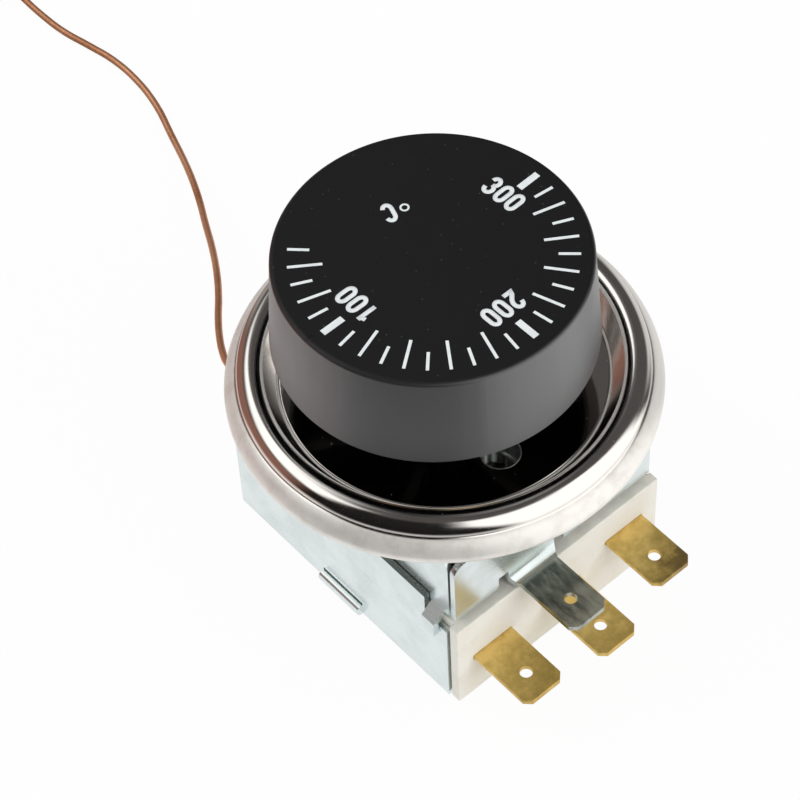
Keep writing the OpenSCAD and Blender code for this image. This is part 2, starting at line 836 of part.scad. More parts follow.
module friction_washer() {
    color("silver")
        translate([0, 0, washer_z])
            difference() {
                cylinder(d = clip_d, h = washer_t);
                translate([0, 0, -over])
                    cylinder(d = spindle_d + 4 * run_fit, h = washer_t + 2 * over);
            }
}

module spindle_circlip() {
    color("dimgray")
        translate([0, 0, clip_z])
            difference() {
                cylinder(d = clip_d, h = clip_t);
                translate([0, 0, -over])
                    cylinder(d = spindle_d - 1 + 2 * seat_fit, h = clip_t + 2 * over);
                span([0, 0.6 - spindle_d / 2, -over], [clip_d, spindle_d / 2 - 0.6, clip_t + over]);
            }
}

module capsule_carrier() {
    half = inner_w / 2 - loose_fit;
    color("silver")
        difference() {
            union() {
                span([-half, -carrier_w / 2, carrier_top - carrier_t], [half, carrier_w / 2, carrier_top]);
                translate([0, 0, hub_under])
                    cylinder(d = carrier_w, h = carrier_hub_h);
            }
            translate([0, 0, hub_under - over])
                cylinder(d = thread_d + 2 * run_fit, h = carrier_hub_h + 2 * over);
        }
}

module capsule_shell() {
    slope_in = carrier_w / 2 + 0.5;
    slope_out = capsule_d / 2 - 1.4;
    color("lightgray")
        rotate_extrude()
            polygon([
                [0, capsule_top], [slope_in, capsule_top], [slope_out, rim_top], [capsule_d / 2, rim_top],
                [capsule_d / 2, rim_top - capsule_t], [slope_out - 0.2, rim_top - capsule_t],
                [slope_in - 0.2, capsule_top - capsule_t], [0, capsule_top - capsule_t]
            ]);
}

module capsule_diaphragm() {
    foil_t = rim_top - capsule_t - rim_low;
    wave = 0.4;
    rim = rim_top - capsule_t;
    wave_r = [capsule_d * 0.41, capsule_d * 0.35, capsule_d * 0.29, capsule_d * 0.23, capsule_d * 0.17];
    face = concat(
        [[capsule_d / 2, rim], [capsule_d * 0.44, rim]],
        [for (i = [0:len(wave_r) - 1]) [wave_r[i], rim - (i % 2 == 0 ? wave : 0)]],
        [[0, rim]]
    );
    back = [for (i = [len(face) - 1:-1:0]) face[i] - [0, foil_t]];
    color("lightgray")
        union() {
            rotate_extrude()
                polygon(concat(face, back));
            translate([0, 0, stud_low])
                cylinder(d = stud_d, h = rim - foil_t / 2 - stud_low);
        }
}

module capillary_stub() {
    color("chocolate")
        wire(smooth_route(stub_route, 3), tube_d);
}

module capillary_grommet() {
    inside = frame_back - sheet_t - 0.2;
    color("darkslategray")
        translate([grommet_x, 0, grommet_z])
            rotate([-90, 0, 0])
                union() {
                    translate([0, 0, inside])
                        cylinder(d = grommet_d, h = cover_back - inside + 0.1);
                    translate([0, 0, cover_back])
                        cylinder(d = grommet_flange_d, h = grommet_flange_t);
                }
}

// Outer face of the bezel ring, from its lower rim over the crest to its inner flange
function ring_face() =
    let (
        r = bezel_d / 2,
        inner = disc_d / 2 + loose_fit,
        disc_under = disc_z - disc_t - seat_fit,
        ledge_rise = 0.2,
        slope_out = 0.2,
        lip_in = 0.6,
        lip_rise = 0.5,
        seat_w = 1.6
    )
    concat(
        arc([r - skirt_r, skirt_z], skirt_r, -40, 12, 5),
        [[r - ledge_in, ledge_z], [r - crest_in + crest_r, ledge_z + ledge_rise]],
        arc([r - crest_in, crest_z], crest_r, 20, 160, 10),
        [[r - crest_in - crest_r - slope_out, crest_z + slope_out], [inner + lip_in, disc_z + lip_rise]],
        [[inner, disc_z], [inner, disc_under], [inner - seat_w, disc_under]]
    );

module bezel_ring() {
    color("silver")
        translate([bezel_side, -bezel_fore, 0])
            rotate_extrude()
                polygon(strip(ring_face(), ring_t));
}

module bezel_disc() {
    slope = 2;
    bore_r = bush_d / 2 + norm([bezel_side, bezel_fore]) + 0.25;
    color("black")
        translate([bezel_side, -bezel_fore, 0])
            difference() {
                rotate_extrude()
                    polygon([
                        [bore_r, 0], [dish_d / 2, 0], [dish_d / 2 + slope, disc_z - disc_t],
                        [disc_d / 2, disc_z - disc_t], [disc_d / 2, disc_z],
                        [dish_d / 2 + slope - 0.3, disc_z], [dish_d / 2 - 0.3, disc_t],
                        [bore_r, disc_t]
                    ]);
                at_fixings()
                    translate([0, 0, -over])
                        cylinder(d = disc_hole_d, h = disc_z + 2 * over);
            }
}

module control_knob() {
    top_r = knob_top_d / 2;
    low_r = knob_low_d / 2;
    roof = knob_z - knob_top_t;
    pocket_y = spindle_flat - spindle_d / 2 + seat_fit;
    color("#202022")
        difference() {
            union() {
                rotate_extrude()
                    polygon(concat(
                        [[0, roof], [0, knob_z]],
                        arc([top_r - knob_edge_r, knob_z - knob_edge_r], knob_edge_r, 90, 4, 6),
                        [[low_r, knob_low_z], [low_r - knob_wall, knob_low_z], [top_r - knob_wall, roof]]
                    ));
                translate([0, 0, hub_z])
                    cylinder(d = hub_d, h = roof - hub_z + over);
                for (i = [0:rib_count - 1])
                    rotate(360 * (i + 0.5) / rib_count)
                        span([hub_d / 2 - 1, -rib_t / 2, knob_low_z + 2],
                            [top_r - 1, rib_t / 2, roof + over]);
            }
            difference() {
                translate([0, 0, hub_z - over])
                    cylinder(d = spindle_d + 2 * seat_fit, h = roof - hub_z + over - 0.2);
                span([-spindle_d, pocket_y, flat_z + 0.2], [spindle_d, spindle_d, knob_z]);
            }
            span([-2.2, pocket_y - 0.01, flat_z + 0.4], [2.2, pocket_y + 0.8, roof - 1]);
        }
}

module knob_clip() {
    leaf_y = spindle_flat - spindle_d / 2 + 2 * seat_fit;
    color("lightsteelblue")
        union() {
            span([-2, leaf_y + 0.35, flat_z + 0.6], [2, leaf_y + 0.75, knob_z - knob_top_t - 1.2]);
            span([-1.2, leaf_y, flat_z + 4], [1.2, leaf_y + 0.4, flat_z + 6]);
        }
}

module capillary_tube() {
    color("chocolate")
        wire(smooth_route(lead_route, 2), tube_d);
}

module capillary_coil() {
    r = 1;
    color("chocolate")
        translate([coil_x, coil_y, coil_low])
            rotate_extrude()
                translate([coil_d / 2, coil_bundle])
                    union() {
                        top_rounded(coil_bundle, coil_bundle / 2 + r, r);
                        translate([0, -coil_bundle])
                            mirror([0, 1])
                                top_rounded(coil_bundle, coil_bundle / 2 + r, r);
                    }
}

module capillary_tail() {
    color("chocolate")
        wire(smooth_route(tail_route, 2), tube_d);
}

module coil_tie() {
    gap = 0.12;
    wall = 0.2;
    half = coil_bundle / 2 + gap;
    color("dimgray")
        translate([coil_x, coil_y, coil_low])
            rotate(70)
                translate([coil_d / 2, 0, 0])
                    difference() {
                        span([-half - wall, -tie_w / 2, -gap - wall],
                            [half + wall, tie_w / 2, coil_bundle + gap + wall]);
                        span([-half, -tie_w, -gap], [half, tie_w, coil_bundle + gap]);
                    }
}

module sensor_bulb() {
    r = bulb_d / 2;
    neck_r = tube_d / 2 + 0.5;
    color("chocolate")
        translate([bulb_neck[0], bulb_neck[1], bulb_z])
            rotate([0, 90, bulb_heading])
                rotate_extrude()
                    polygon([
                        [0, 0], [neck_r, 0], [neck_r, bulb_neck_l], [r - 0.5, bulb_neck_l + 2],
                        [r, bulb_neck_l + 3], [r, bulb_neck_l + bulb_l - 3],
                        [r - 0.5, bulb_neck_l + bulb_l - 2], [neck_r, bulb_neck_l + bulb_l],
                        [0, bulb_neck_l + bulb_l]
                    ]);
}

front_frame();
rear_cover();
terminal_block();
guide_board();
common_terminal();
lower_terminal();
upper_terminal();
upper_contact();
lower_contact();
snap_blade();
moving_contact();
push_pin();
pin_spring();
spindle_bush();
control_spindle();
stop_collar();
friction_washer();
spindle_circlip();
capsule_carrier();
capsule_shell();
capsule_diaphragm();
capillary_stub();
capillary_grommet();
bezel_ring();
bezel_disc();
control_knob();
knob_clip();
capillary_tube();
capillary_coil();
capillary_tail();
coil_tie();
sensor_bulb();
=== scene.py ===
"""Dressed model of a capillary thermostat with a dial knob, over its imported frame."""
import json
import logging
import math
from dataclasses import dataclass
from enum import Enum
from typing import Any, Callable, Dict, List, Sequence, Tuple, Union

import bmesh
import bpy
from mathutils import Matrix, Vector

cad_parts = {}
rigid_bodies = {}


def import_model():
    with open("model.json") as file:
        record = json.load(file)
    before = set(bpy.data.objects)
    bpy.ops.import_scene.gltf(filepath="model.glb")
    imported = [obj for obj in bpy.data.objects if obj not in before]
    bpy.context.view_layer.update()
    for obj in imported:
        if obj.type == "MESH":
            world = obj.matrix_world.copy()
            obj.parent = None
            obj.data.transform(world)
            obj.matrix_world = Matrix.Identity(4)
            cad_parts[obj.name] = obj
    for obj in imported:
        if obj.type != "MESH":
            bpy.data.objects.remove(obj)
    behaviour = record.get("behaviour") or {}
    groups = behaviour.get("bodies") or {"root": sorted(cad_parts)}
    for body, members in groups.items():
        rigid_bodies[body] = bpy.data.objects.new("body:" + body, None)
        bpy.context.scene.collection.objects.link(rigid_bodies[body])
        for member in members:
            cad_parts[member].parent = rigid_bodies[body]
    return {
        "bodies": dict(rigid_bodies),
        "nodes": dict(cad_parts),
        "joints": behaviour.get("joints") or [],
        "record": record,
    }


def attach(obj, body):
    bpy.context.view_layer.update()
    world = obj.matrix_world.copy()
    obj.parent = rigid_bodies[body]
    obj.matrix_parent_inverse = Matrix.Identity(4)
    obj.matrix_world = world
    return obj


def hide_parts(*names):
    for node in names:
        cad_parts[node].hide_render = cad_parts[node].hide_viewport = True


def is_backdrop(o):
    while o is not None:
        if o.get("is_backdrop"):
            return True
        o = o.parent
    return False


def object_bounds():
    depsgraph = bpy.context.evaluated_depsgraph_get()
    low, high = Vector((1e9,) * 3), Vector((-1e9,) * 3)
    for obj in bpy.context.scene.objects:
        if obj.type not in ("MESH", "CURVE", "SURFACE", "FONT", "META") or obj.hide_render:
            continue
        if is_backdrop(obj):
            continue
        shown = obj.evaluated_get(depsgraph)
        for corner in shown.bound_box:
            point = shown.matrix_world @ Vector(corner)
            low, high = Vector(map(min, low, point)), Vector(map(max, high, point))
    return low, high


LOG = logging.getLogger("capillary_thermostat")
MM = 0.001
Colour = Tuple[float, float, float]
Point = Tuple[float, float, float]
Flat = Tuple[float, float]
Key = Union[str, int]
Names = Tuple[str, ...]
Copies = Tuple[Tuple[str, float, int], ...]
BEZEL_CENTRE: Point = (0.6, -0.6, 0.0)
FRAME: Dict[str, Any] = {}


def ease(share: float) -> float:
    """Smooth step of a share, held from 0 to 1."""
    share = min(max(share, 0.0), 1.0)
    return share * share * (3 - 2 * share)


def polar(radius: float, degrees: float) -> Flat:
    """Point at a radius and at an angle in degrees."""
    turn = math.radians(degrees)
    return radius * math.cos(turn), radius * math.sin(turn)


def linked(name: str, data: Any) -> bpy.types.Object:
    """Makes an object from its data and puts it in the scene."""
    made = bpy.data.objects.new(name, data)
    bpy.context.scene.collection.objects.link(made)
    return made


def operator(operation: str, swapped: bool = False) -> Callable[["Wire", "Value"], "Wire"]:
    """Makes a Python operator on wires out of a Math node's operation."""

    def method(wire: "Wire", other: "Value") -> "Wire":
        """Adds the node."""
        pair = (other, wire) if swapped else (wire, other)
        return wire.sheet.maths(operation, *pair)

    return method


@dataclass(frozen=True)
class Wire:
    """An output socket that takes part in Python expressions."""

    sheet: "NodeSheet"
    socket: bpy.types.NodeSocket

    __add__ = operator("ADD")
    __radd__ = operator("ADD", True)
    __sub__ = operator("SUBTRACT")
    __rsub__ = operator("SUBTRACT", True)
    __mul__ = operator("MULTIPLY")
    __rmul__ = operator("MULTIPLY", True)


Value = Union[float, Wire]
Tint = Union[Colour, Wire]


class NodeSheet:
    """One node tree, filled by expressions on wires."""

    def __init__(self, owner: Union[bpy.types.Material, bpy.types.World]) -> None:
        """Starts from its owner's tree, emptied."""
        owner.use_nodes = True
        self.tree = owner.node_tree
        self.tree.nodes.clear()

    def node(
        self, kind: str, inputs: Dict[Key, Any], output: Key = 0, **settings: str
    ) -> Wire:
        """Adds a node.

        Args:
            kind: The node's type, without its ShaderNode prefix.
            inputs: Numbers, colours or wires for its sockets.
            output: The socket to return.
            **settings: Properties of the node.

        Returns:
            The chosen output as a wire.
        """
        made = self.tree.nodes.new("ShaderNode" + kind)
        for name, value in settings.items():
            setattr(made, name, value)
        for name, value in inputs.items():
            socket = made.inputs[name]
            if isinstance(value, Wire):
                self.tree.links.new(value.socket, socket)
            elif socket.type == "RGBA":
                socket.default_value = (*value, 1.0)
            else:
                socket.default_value = value
        return Wire(self, made.outputs[output])

    def maths(self, operation: str, *values: Value) -> Wire:
        """One Math node on up to three values."""
        return self.node("Math", dict(enumerate(values)), operation=operation)

    def vector(self, operation: str, *values: Any, output: Key = 0) -> Wire:
        """One Vector Math node."""
        return self.node("VectorMath", dict(enumerate(values)), output, operation=operation)

    def mix(self, mask: Value, low: Tint, high: Tint) -> Wire:
        """Blends two colours: a mask of 0 gives low, and 1 gives high."""
        return self.node("Mix", {0: mask, 6: low, 7: high}, 2, data_type="RGBA")

    def rise(self, value: Value, start: float, end: float) -> Wire:
        """Smooth step of a value, 0 at start and 1 at end."""
        inputs = {0: value, 1: start, 2: end}
        return self.node("MapRange", inputs, interpolation_type="SMOOTHSTEP")

    def edge(self, value: Value, at: float, soft: float) -> Wire:
        """Smooth step of a value about a place."""
        return self.rise(value, at - soft, at + soft)

    def between(self, value: Value, low: float, high: float, soft: float) -> Wire:
        """Mask of values from low to high, with soft flanks."""
        return self.edge(value, low, soft) * (1.0 - self.edge(value, high, soft))

    def bare(self, value: Value) -> Wire:
        """A value without its sign."""
        return self.maths("ABSOLUTE", value)

    def place(
        self, scale: Point = (1, 1, 1), shift: Point = (0, 0, 0), turn_deg: float = 0.0
    ) -> Wire:
        """Object coordinates in millimetres.

        Args:
            scale: Factor on each axis.
            shift: Shift in scaled millimetres.
            turn_deg: Turn about the upright axis.

        Returns:
            The mapped coordinates.
        """
        inputs = {
            "Vector": self.node("TexCoord", {}, "Object"),
            "Location": shift,
            "Rotation": (0.0, 0.0, math.radians(turn_deg)),
            "Scale": tuple(s / MM for s in scale),
        }
        return self.node("Mapping", inputs)

    def axis(self, coordinates: Wire, name: str) -> Wire:
        """One component, X, Y or Z, of a vector."""
        return self.node("SeparateXYZ", {0: coordinates}, name)

    def radius(self, coordinates: Wire) -> Wire:
        """Distance from the upright axis."""
        x, y = (self.axis(coordinates, name) for name in "XY")
        return self.maths("SQRT", x * x + y * y)

    def noise(self, at: Wire, scale: float, detail: float = 3.0, rough: float = 0.5) -> Wire:
        """Noise value of a pattern with the given number of cells in a millimetre."""
        inputs = {"Vector": at, "Scale": scale, "Detail": detail, "Roughness": rough}
        return self.node("TexNoise", inputs)

    def specks(self, at: Wire, scale: float, size: float) -> Wire:
        """Mask of scattered specks; size is their radius in cells."""
        near = self.node("TexVoronoi", {"Vector": at, "Scale": scale}, "Distance")
        return 1.0 - self.rise(near, size * 0.5, size)

    def bump(self, height: Value, strength: float, depth_mm: float) -> Wire:
        """Normal of a surface with that relief."""
        inputs = {"Strength": strength, "Distance": depth_mm * MM, "Height": height}
        return self.node("Bump", inputs)

    def reach(self, coordinates: Wire, centre: Point) -> Wire:
        """Distance in millimetres from a point given in millimetres."""
        return self.vector("DISTANCE", coordinates, centre, output="Value")

    def ray(self, kind: str) -> Wire:
        """1 for rays of a kind."""
        return self.node("LightPath", {}, "Is " + kind + " Ray")

    def seen(self) -> Wire:
        """1 for rays that come from the camera, through glass too."""
        return self.maths("MINIMUM", self.ray("Camera") + self.ray("Transmission"), 1.0)

    def surface(self, **sockets: Any) -> None:
        """Ends the tree in one Principled surface; names use _ for a space."""
        named = {name.replace("_", " "): value for name, value in sockets.items()}
        self.finish(self.node("BsdfPrincipled", named))

    def finish(self, shader: Wire, kind: str = "OutputMaterial") -> None:
        """Adds the tree's output node and links a shader to it."""
        made = self.tree.nodes.new("ShaderNode" + kind)
        self.tree.links.new(shader.socket, made.inputs["Surface"])


@dataclass(frozen=True)
class Finish:
    """A procedural finish that takes the place of one material slot of the frame."""

    slot: str

    def paint(self, sheet: NodeSheet) -> None:
        """Fills the material's tree; each finish has its own."""
        raise NotImplementedError

    def material(self) -> bpy.types.Material:
        """Builds the material once and returns it after that."""
        name = "finish_" + self.slot
        made = bpy.data.materials.get(name)
        if made is None:
            made = bpy.data.materials.new(name)
            self.paint(NodeSheet(made))
        return made


@dataclass(frozen=True)
class ZincPlate(Finish):
    """Bright zinc on folded steel sheet, clouded, with one small yellow stain."""

    slot: str = "zinc_plate"
    bright: Colour = (0.8, 0.865, 0.865)
    dull: Colour = (0.64, 0.71, 0.71)
    stain: Colour = (0.7, 0.66, 0.42)
    stain_at: Point = (-7.2, -21.0, -9.5)
    stain_r: Flat = (0.9, 2.1)
    tab: Colour = (0.5, 0.51, 0.44)
    # Dark tone of the tab; also the colour of the painted shadow along the cover's top edge.
    dark_tab_and_gap_shade: Colour = (0.13, 0.15, 0.135)
    tab_y: float = -21.5
    gap_shade_z: Flat = (-12.1, -11.94)
    gap_shade_x: Flat = (16.35, 17.35)

    def paint(self, sheet: NodeSheet) -> None:
        """Clouds, rolling streaks, fine scratches, the stain, and a painted shadow along the
        cover's top edge.
        """
        place = sheet.place()
        clouds = sheet.noise(place, 0.16, 4.0, 0.6)
        streaks = sheet.noise(sheet.place((0.12, 0.12, 3.0)), 1.0, 3.0, 0.6)
        grain = sheet.noise(sheet.place((6.0, 0.5, 6.0)), 1.0, 2.0)
        mask = sheet.rise(clouds, 0.36, 0.66) * 0.5 + sheet.rise(streaks, 0.45, 0.75) * 0.2
        plate = sheet.mix(mask, self.bright, self.dull)
        ragged = sheet.reach(place, self.stain_at) + sheet.noise(place, 1.4) * 1.2
        spot = (1.0 - sheet.rise(ragged, *self.stain_r)) * 0.35
        beyond = self.tab_y - sheet.axis(place, "Y")
        outer = sheet.rise(beyond, 0.0, 0.9)
        bands = sheet.noise(sheet.place((0.5, 0.16, 0.5), turn_deg=40.0), 1.0, 4.0, 0.6)
        dusk = sheet.rise(bands * 1.6 + grain * 0.2 - beyond * 0.03, 0.5, 0.95)
        tab = sheet.mix(dusk * sheet.rise(beyond, 0.6, 1.6), self.tab, self.dark_tab_and_gap_shade)
        # Painted shadow: a dark band along the cover's top edge, where the gap under the frame's
        # flange is in shade.
        painted_gap_shade = sheet.between(sheet.axis(place, "Z"), *self.gap_shade_z, 0.03)
        painted_gap_shade = painted_gap_shade * sheet.between(sheet.bare(sheet.axis(place, "X")), *self.gap_shade_x, 0.04)
        plate = sheet.mix(painted_gap_shade * 0.8, sheet.mix(spot, plate, self.stain), self.dark_tab_and_gap_shade)
        sheet.surface(
            Base_Color=sheet.mix(outer, plate, tab),
            Metallic=0.9 + 0.1 * outer,
            Roughness=0.17 + 0.14 * mask + 0.06 * grain - 0.04 * outer,
            Normal=sheet.bump(grain * 0.5 + clouds, 0.22, 0.05),
        )


@dataclass(frozen=True)
class CeramicBody(Finish):
    """Unglazed cream ceramic, with painted grey-green shade along its upper front edge, under the
    frame's flange.
    """

    slot: str = "ceramic_body"
    clean: Colour = (0.89, 0.87, 0.8)
    warm: Colour = (0.84, 0.8, 0.69)
    # Grey-green for the dark pores, and for the painted shade along the top edge.
    grime_and_shade: Colour = (0.62, 0.62, 0.53)
    top_z: float = -14.2

    def paint(self, sheet: NodeSheet) -> None:
        """Pressed grain, dark pores, specks and painted shade on the top strip."""
        place = sheet.place()
        height = sheet.axis(place, "Z")
        mottle = sheet.noise(place, 0.35, 4.0, 0.6)
        grain = sheet.noise(place, 5.0, 3.0, 0.7)
        pores = sheet.specks(place, 1.6, 0.16)
        body = sheet.mix(sheet.rise(mottle, 0.42, 0.7) * 0.6, self.clean, self.warm)
        # Painted shade: the top strip sits in the gap under the frame's flange and is darkened in
        # patches.
        edge = sheet.rise(height + mottle * 0.7, self.top_z - 0.1, self.top_z + 0.6)
        painted_light_mask = sheet.rise(sheet.noise(place, 0.6, 3.0), 0.3, 0.62)
        body = sheet.mix(edge * painted_light_mask * 0.5, body, self.grime_and_shade)
        body = sheet.mix(pores * 0.4, body, self.grime_and_shade)
        sheet.surface(
            Base_Color=body,
            Roughness=0.72 + 0.12 * grain,
            Normal=sheet.bump(grain - pores, 0.35, 0.05),
        )


@dataclass(frozen=True)
class BrassTab(Finish):
    """Stamped brass blade, tarnished brown towards its tip and most at the right-hand one."""

    slot: str = "brass_tab"
    fresh: Colour = (0.88, 0.63, 0.21)
    aged: Colour = (0.66, 0.46, 0.13)
    brown: Colour = (0.27, 0.18, 0.07)
    root_y: float = -22.0
    tarnish_mm: Flat = (0.5, 9.5)
    side_x: Flat = (7.0, 15.0)
    middle_x: Flat = (3.5, 6.0)

    def paint(self, sheet: NodeSheet) -> None:
        """Tarnish clouds that thicken towards the tip, and drawing lines."""
        place = sheet.place()
        across = sheet.axis(place, "X")
        outward = sheet.rise(self.root_y - sheet.axis(place, "Y"), *self.tarnish_mm)
        clouds = sheet.noise(place, 0.55, 4.0, 0.62)
        fine = sheet.noise(place, 2.6, 3.0, 0.6)
        lines = sheet.noise(sheet.place((7.0, 0.35, 7.0)), 1.0, 3.0, 0.6)
        side = sheet.rise(across, *self.side_x)
        middle = 1.0 - sheet.rise(sheet.bare(across), *self.middle_x)
        aged = sheet.rise(clouds + outward * 0.22 - 0.1 * middle, 0.38, 0.74)
        dark = clouds * 0.6 + fine * 0.15 + outward * (0.24 + 0.24 * side) - 0.1 * middle
        brown = sheet.rise(dark, 0.58, 0.84)
        tint = sheet.mix(brown * 0.85, sheet.mix(aged, self.fresh, self.aged), self.brown)
        tint = sheet.mix(sheet.rise(lines, 0.56, 0.76) * 0.4, tint, self.aged)
        sheet.surface(
            Base_Color=tint,
            Metallic=0.8,
            Roughness=0.34 + 0.1 * aged + 0.08 * lines,
            Normal=sheet.bump(lines + fine * 0.5, 0.22, 0.03),
        )


@dataclass(frozen=True)
class Grained(Finish):
    """Rubber, laminate, ceramic or printed ink, with clouds in its tint and a fine grain."""

    tint: Colour
    shade: Colour
    rough: float
    grain: Point = (6.0, 6.0, 6.0)
    clouding: float = 0.8
    clouds: Flat = (0.4, 0.65)
    metallic: float = 0.0
    cloud_rough: float = 0.0
    grain_rough: float = 0.1
    relief: Flat = (0.2, 0.03)

    def paint(self, sheet: NodeSheet) -> None:
        """Clouds in the tint, and the grain in the roughness and the relief."""
        mask = sheet.rise(sheet.noise(sheet.place(), self.clouding, 4.0, 0.6), *self.clouds)
        grain = sheet.noise(sheet.place(self.grain), 1.0, 2.0)
        sheet.surface(
            Base_Color=sheet.mix(mask, self.tint, self.shade),
            Metallic=self.metallic,
            Roughness=self.rough + self.cloud_rough * mask + self.grain_rough * grain,
            Normal=sheet.bump(grain, *self.relief),
        )


@dataclass(frozen=True)
class Metal(Grained):
    """Plain turned, drawn or stamped metal with its grain and a light tarnish."""

    grain: Point = (4.0, 4.0, 4.0)
    clouding: float = 0.3
    clouds: Flat = (0.35, 0.68)
    metallic: float = 1.0
    cloud_rough: float = 0.12
    grain_rough: float = 0.08
    relief: Flat = (0.15, 0.02)


@dataclass(frozen=True)
class CopperTube(Finish):
    """Drawn copper capillary, browned in patches."""

    slot: str = "copper_tube"
    bright: Colour = (0.88, 0.46, 0.27)
    brown: Colour = (0.55, 0.23, 0.11)

    def paint(self, sheet: NodeSheet) -> None:
        """Oxide patches and a fine bloom."""
        place = sheet.place()
        patches = sheet.noise(place, 0.09, 3.0, 0.55)
        bloom = sheet.noise(place, 1.6, 3.0)
        mask = sheet.rise(patches * 0.8 + bloom * 0.2, 0.3, 0.75)
        sheet.surface(
            Base_Color=sheet.mix(mask, self.bright, self.brown),
            Metallic=0.8,
            Roughness=0.36 + 0.14 * mask,
            Normal=sheet.bump(bloom, 0.2, 0.02),
        )


@dataclass(frozen=True)
class BezelNickel(Finish):
    """Bright nickel on the rolled ring, satin on its outer skirt, with painted highlight lines on
    two thin inner edges.
    """

    slot: str = "bezel_nickel"
    bright: Colour = (0.86, 0.83, 0.8)
    satin: Colour = (0.92, 0.89, 0.85)
    # Warm, darker tone of the painted reflection on the skirt's left and front.
    painted_warm_reflection: Colour = (0.7, 0.66, 0.6)
    # Colour of the painted highlight lines on the shoulder and lip edges.
    line: Colour = (1.0, 0.97, 0.92)
    skirt_r: Flat = (25.5, 25.8)
    shoulder_r: Flat = (22.03, 22.37)
    shoulder_z: Flat = (3.9, 4.1)
    lip_r: Flat = (20.28, 20.56)
    lip_z: Flat = (1.9, 2.0)
    painted_reflection_fade_x: Flat = (6.0, 20.0)

    def paint(self, sheet: NodeSheet) -> None:
        """Mirror crest, satin skirt with spinning lines and a mottled painted warm reflection on
        its left, painted highlight lines on two inner edges, a few dust marks.
        """
        place = sheet.place(shift=tuple(-c for c in BEZEL_CENTRE))
        radius = sheet.radius(place)
        height = sheet.axis(place, "Z")
        skirt = sheet.rise(radius, *self.skirt_r)
        shoulder = sheet.between(radius, *self.shoulder_r, 0.06)
        shoulder = shoulder * sheet.rise(height, *self.shoulder_z)
        lip = sheet.between(radius, *self.lip_r, 0.05) * sheet.rise(height, *self.lip_z)
        # Painted highlight: bright, partly matt lines on the shoulder and the lip, where the real
        # edges catch light.
        painted_light_mask = sheet.maths("MAXIMUM", shoulder, lip)
        satin = sheet.maths("MAXIMUM", skirt, painted_light_mask)
        smear = sheet.noise(place, 0.22, 3.0, 0.6)
        section = sheet.node("CombineXYZ", {0: radius, 1: 0.0, 2: height})
        lathe = sheet.noise(section, 9.0, 2.0)
        pits = sheet.noise(place, 6.5, 2.0, 0.7)
        # Painted reflection: the skirt is mottled warmer and darker on its left and front, fading
        # out from x 6 to 20 mm.
        mottle = sheet.rise(sheet.noise(place, 0.3, 4.0, 0.65), 0.42, 0.66)
        mottle = mottle * (1.0 - sheet.rise(sheet.axis(place, "X"), *self.painted_reflection_fade_x))
        dust = sheet.specks(place, 0.9, 0.07)
        rough = 0.12 + 0.07 * sheet.rise(smear, 0.45, 0.75) + 0.26 * satin
        rough = rough + 0.08 * skirt * lathe + 0.2 * dust
        plated = sheet.mix(mottle * 0.5, self.satin, self.painted_warm_reflection)
        sheet.surface(
            Base_Color=sheet.mix(painted_light_mask, sheet.mix(skirt, self.bright, plated), self.line),
            Metallic=1.0 - 0.5 * satin - 0.48 * painted_light_mask,
            Roughness=rough,
            Normal=sheet.bump(pits * 0.3 + (lathe + pits) * 0.7 * skirt, 0.16, 0.02),
        )


@dataclass(frozen=True)
class DiscNickel(Finish):
    """Flat bright nickel, which mirrors the knob's dark inside, with a little dust."""

    slot: str = "disc_nickel"
    tint: Colour = (0.86, 0.83, 0.8)
    dust_tint: Colour = (0.6, 0.6, 0.6)

    def paint(self, sheet: NodeSheet) -> None:
        """Polished sheet, faintly uneven, with specks of dust."""
        place = sheet.place()
        dust = sheet.specks(place, 0.8, 0.06)
        peel = sheet.noise(place, 0.8, 2.0)
        sheet.surface(
            Base_Color=sheet.mix(dust * 0.7, self.tint, self.dust_tint),
            Metallic=1.0 - 0.8 * dust,
            Roughness=0.05 + 0.05 * peel + 0.3 * dust,
            Normal=sheet.bump(peel, 0.05, 0.02),
        )


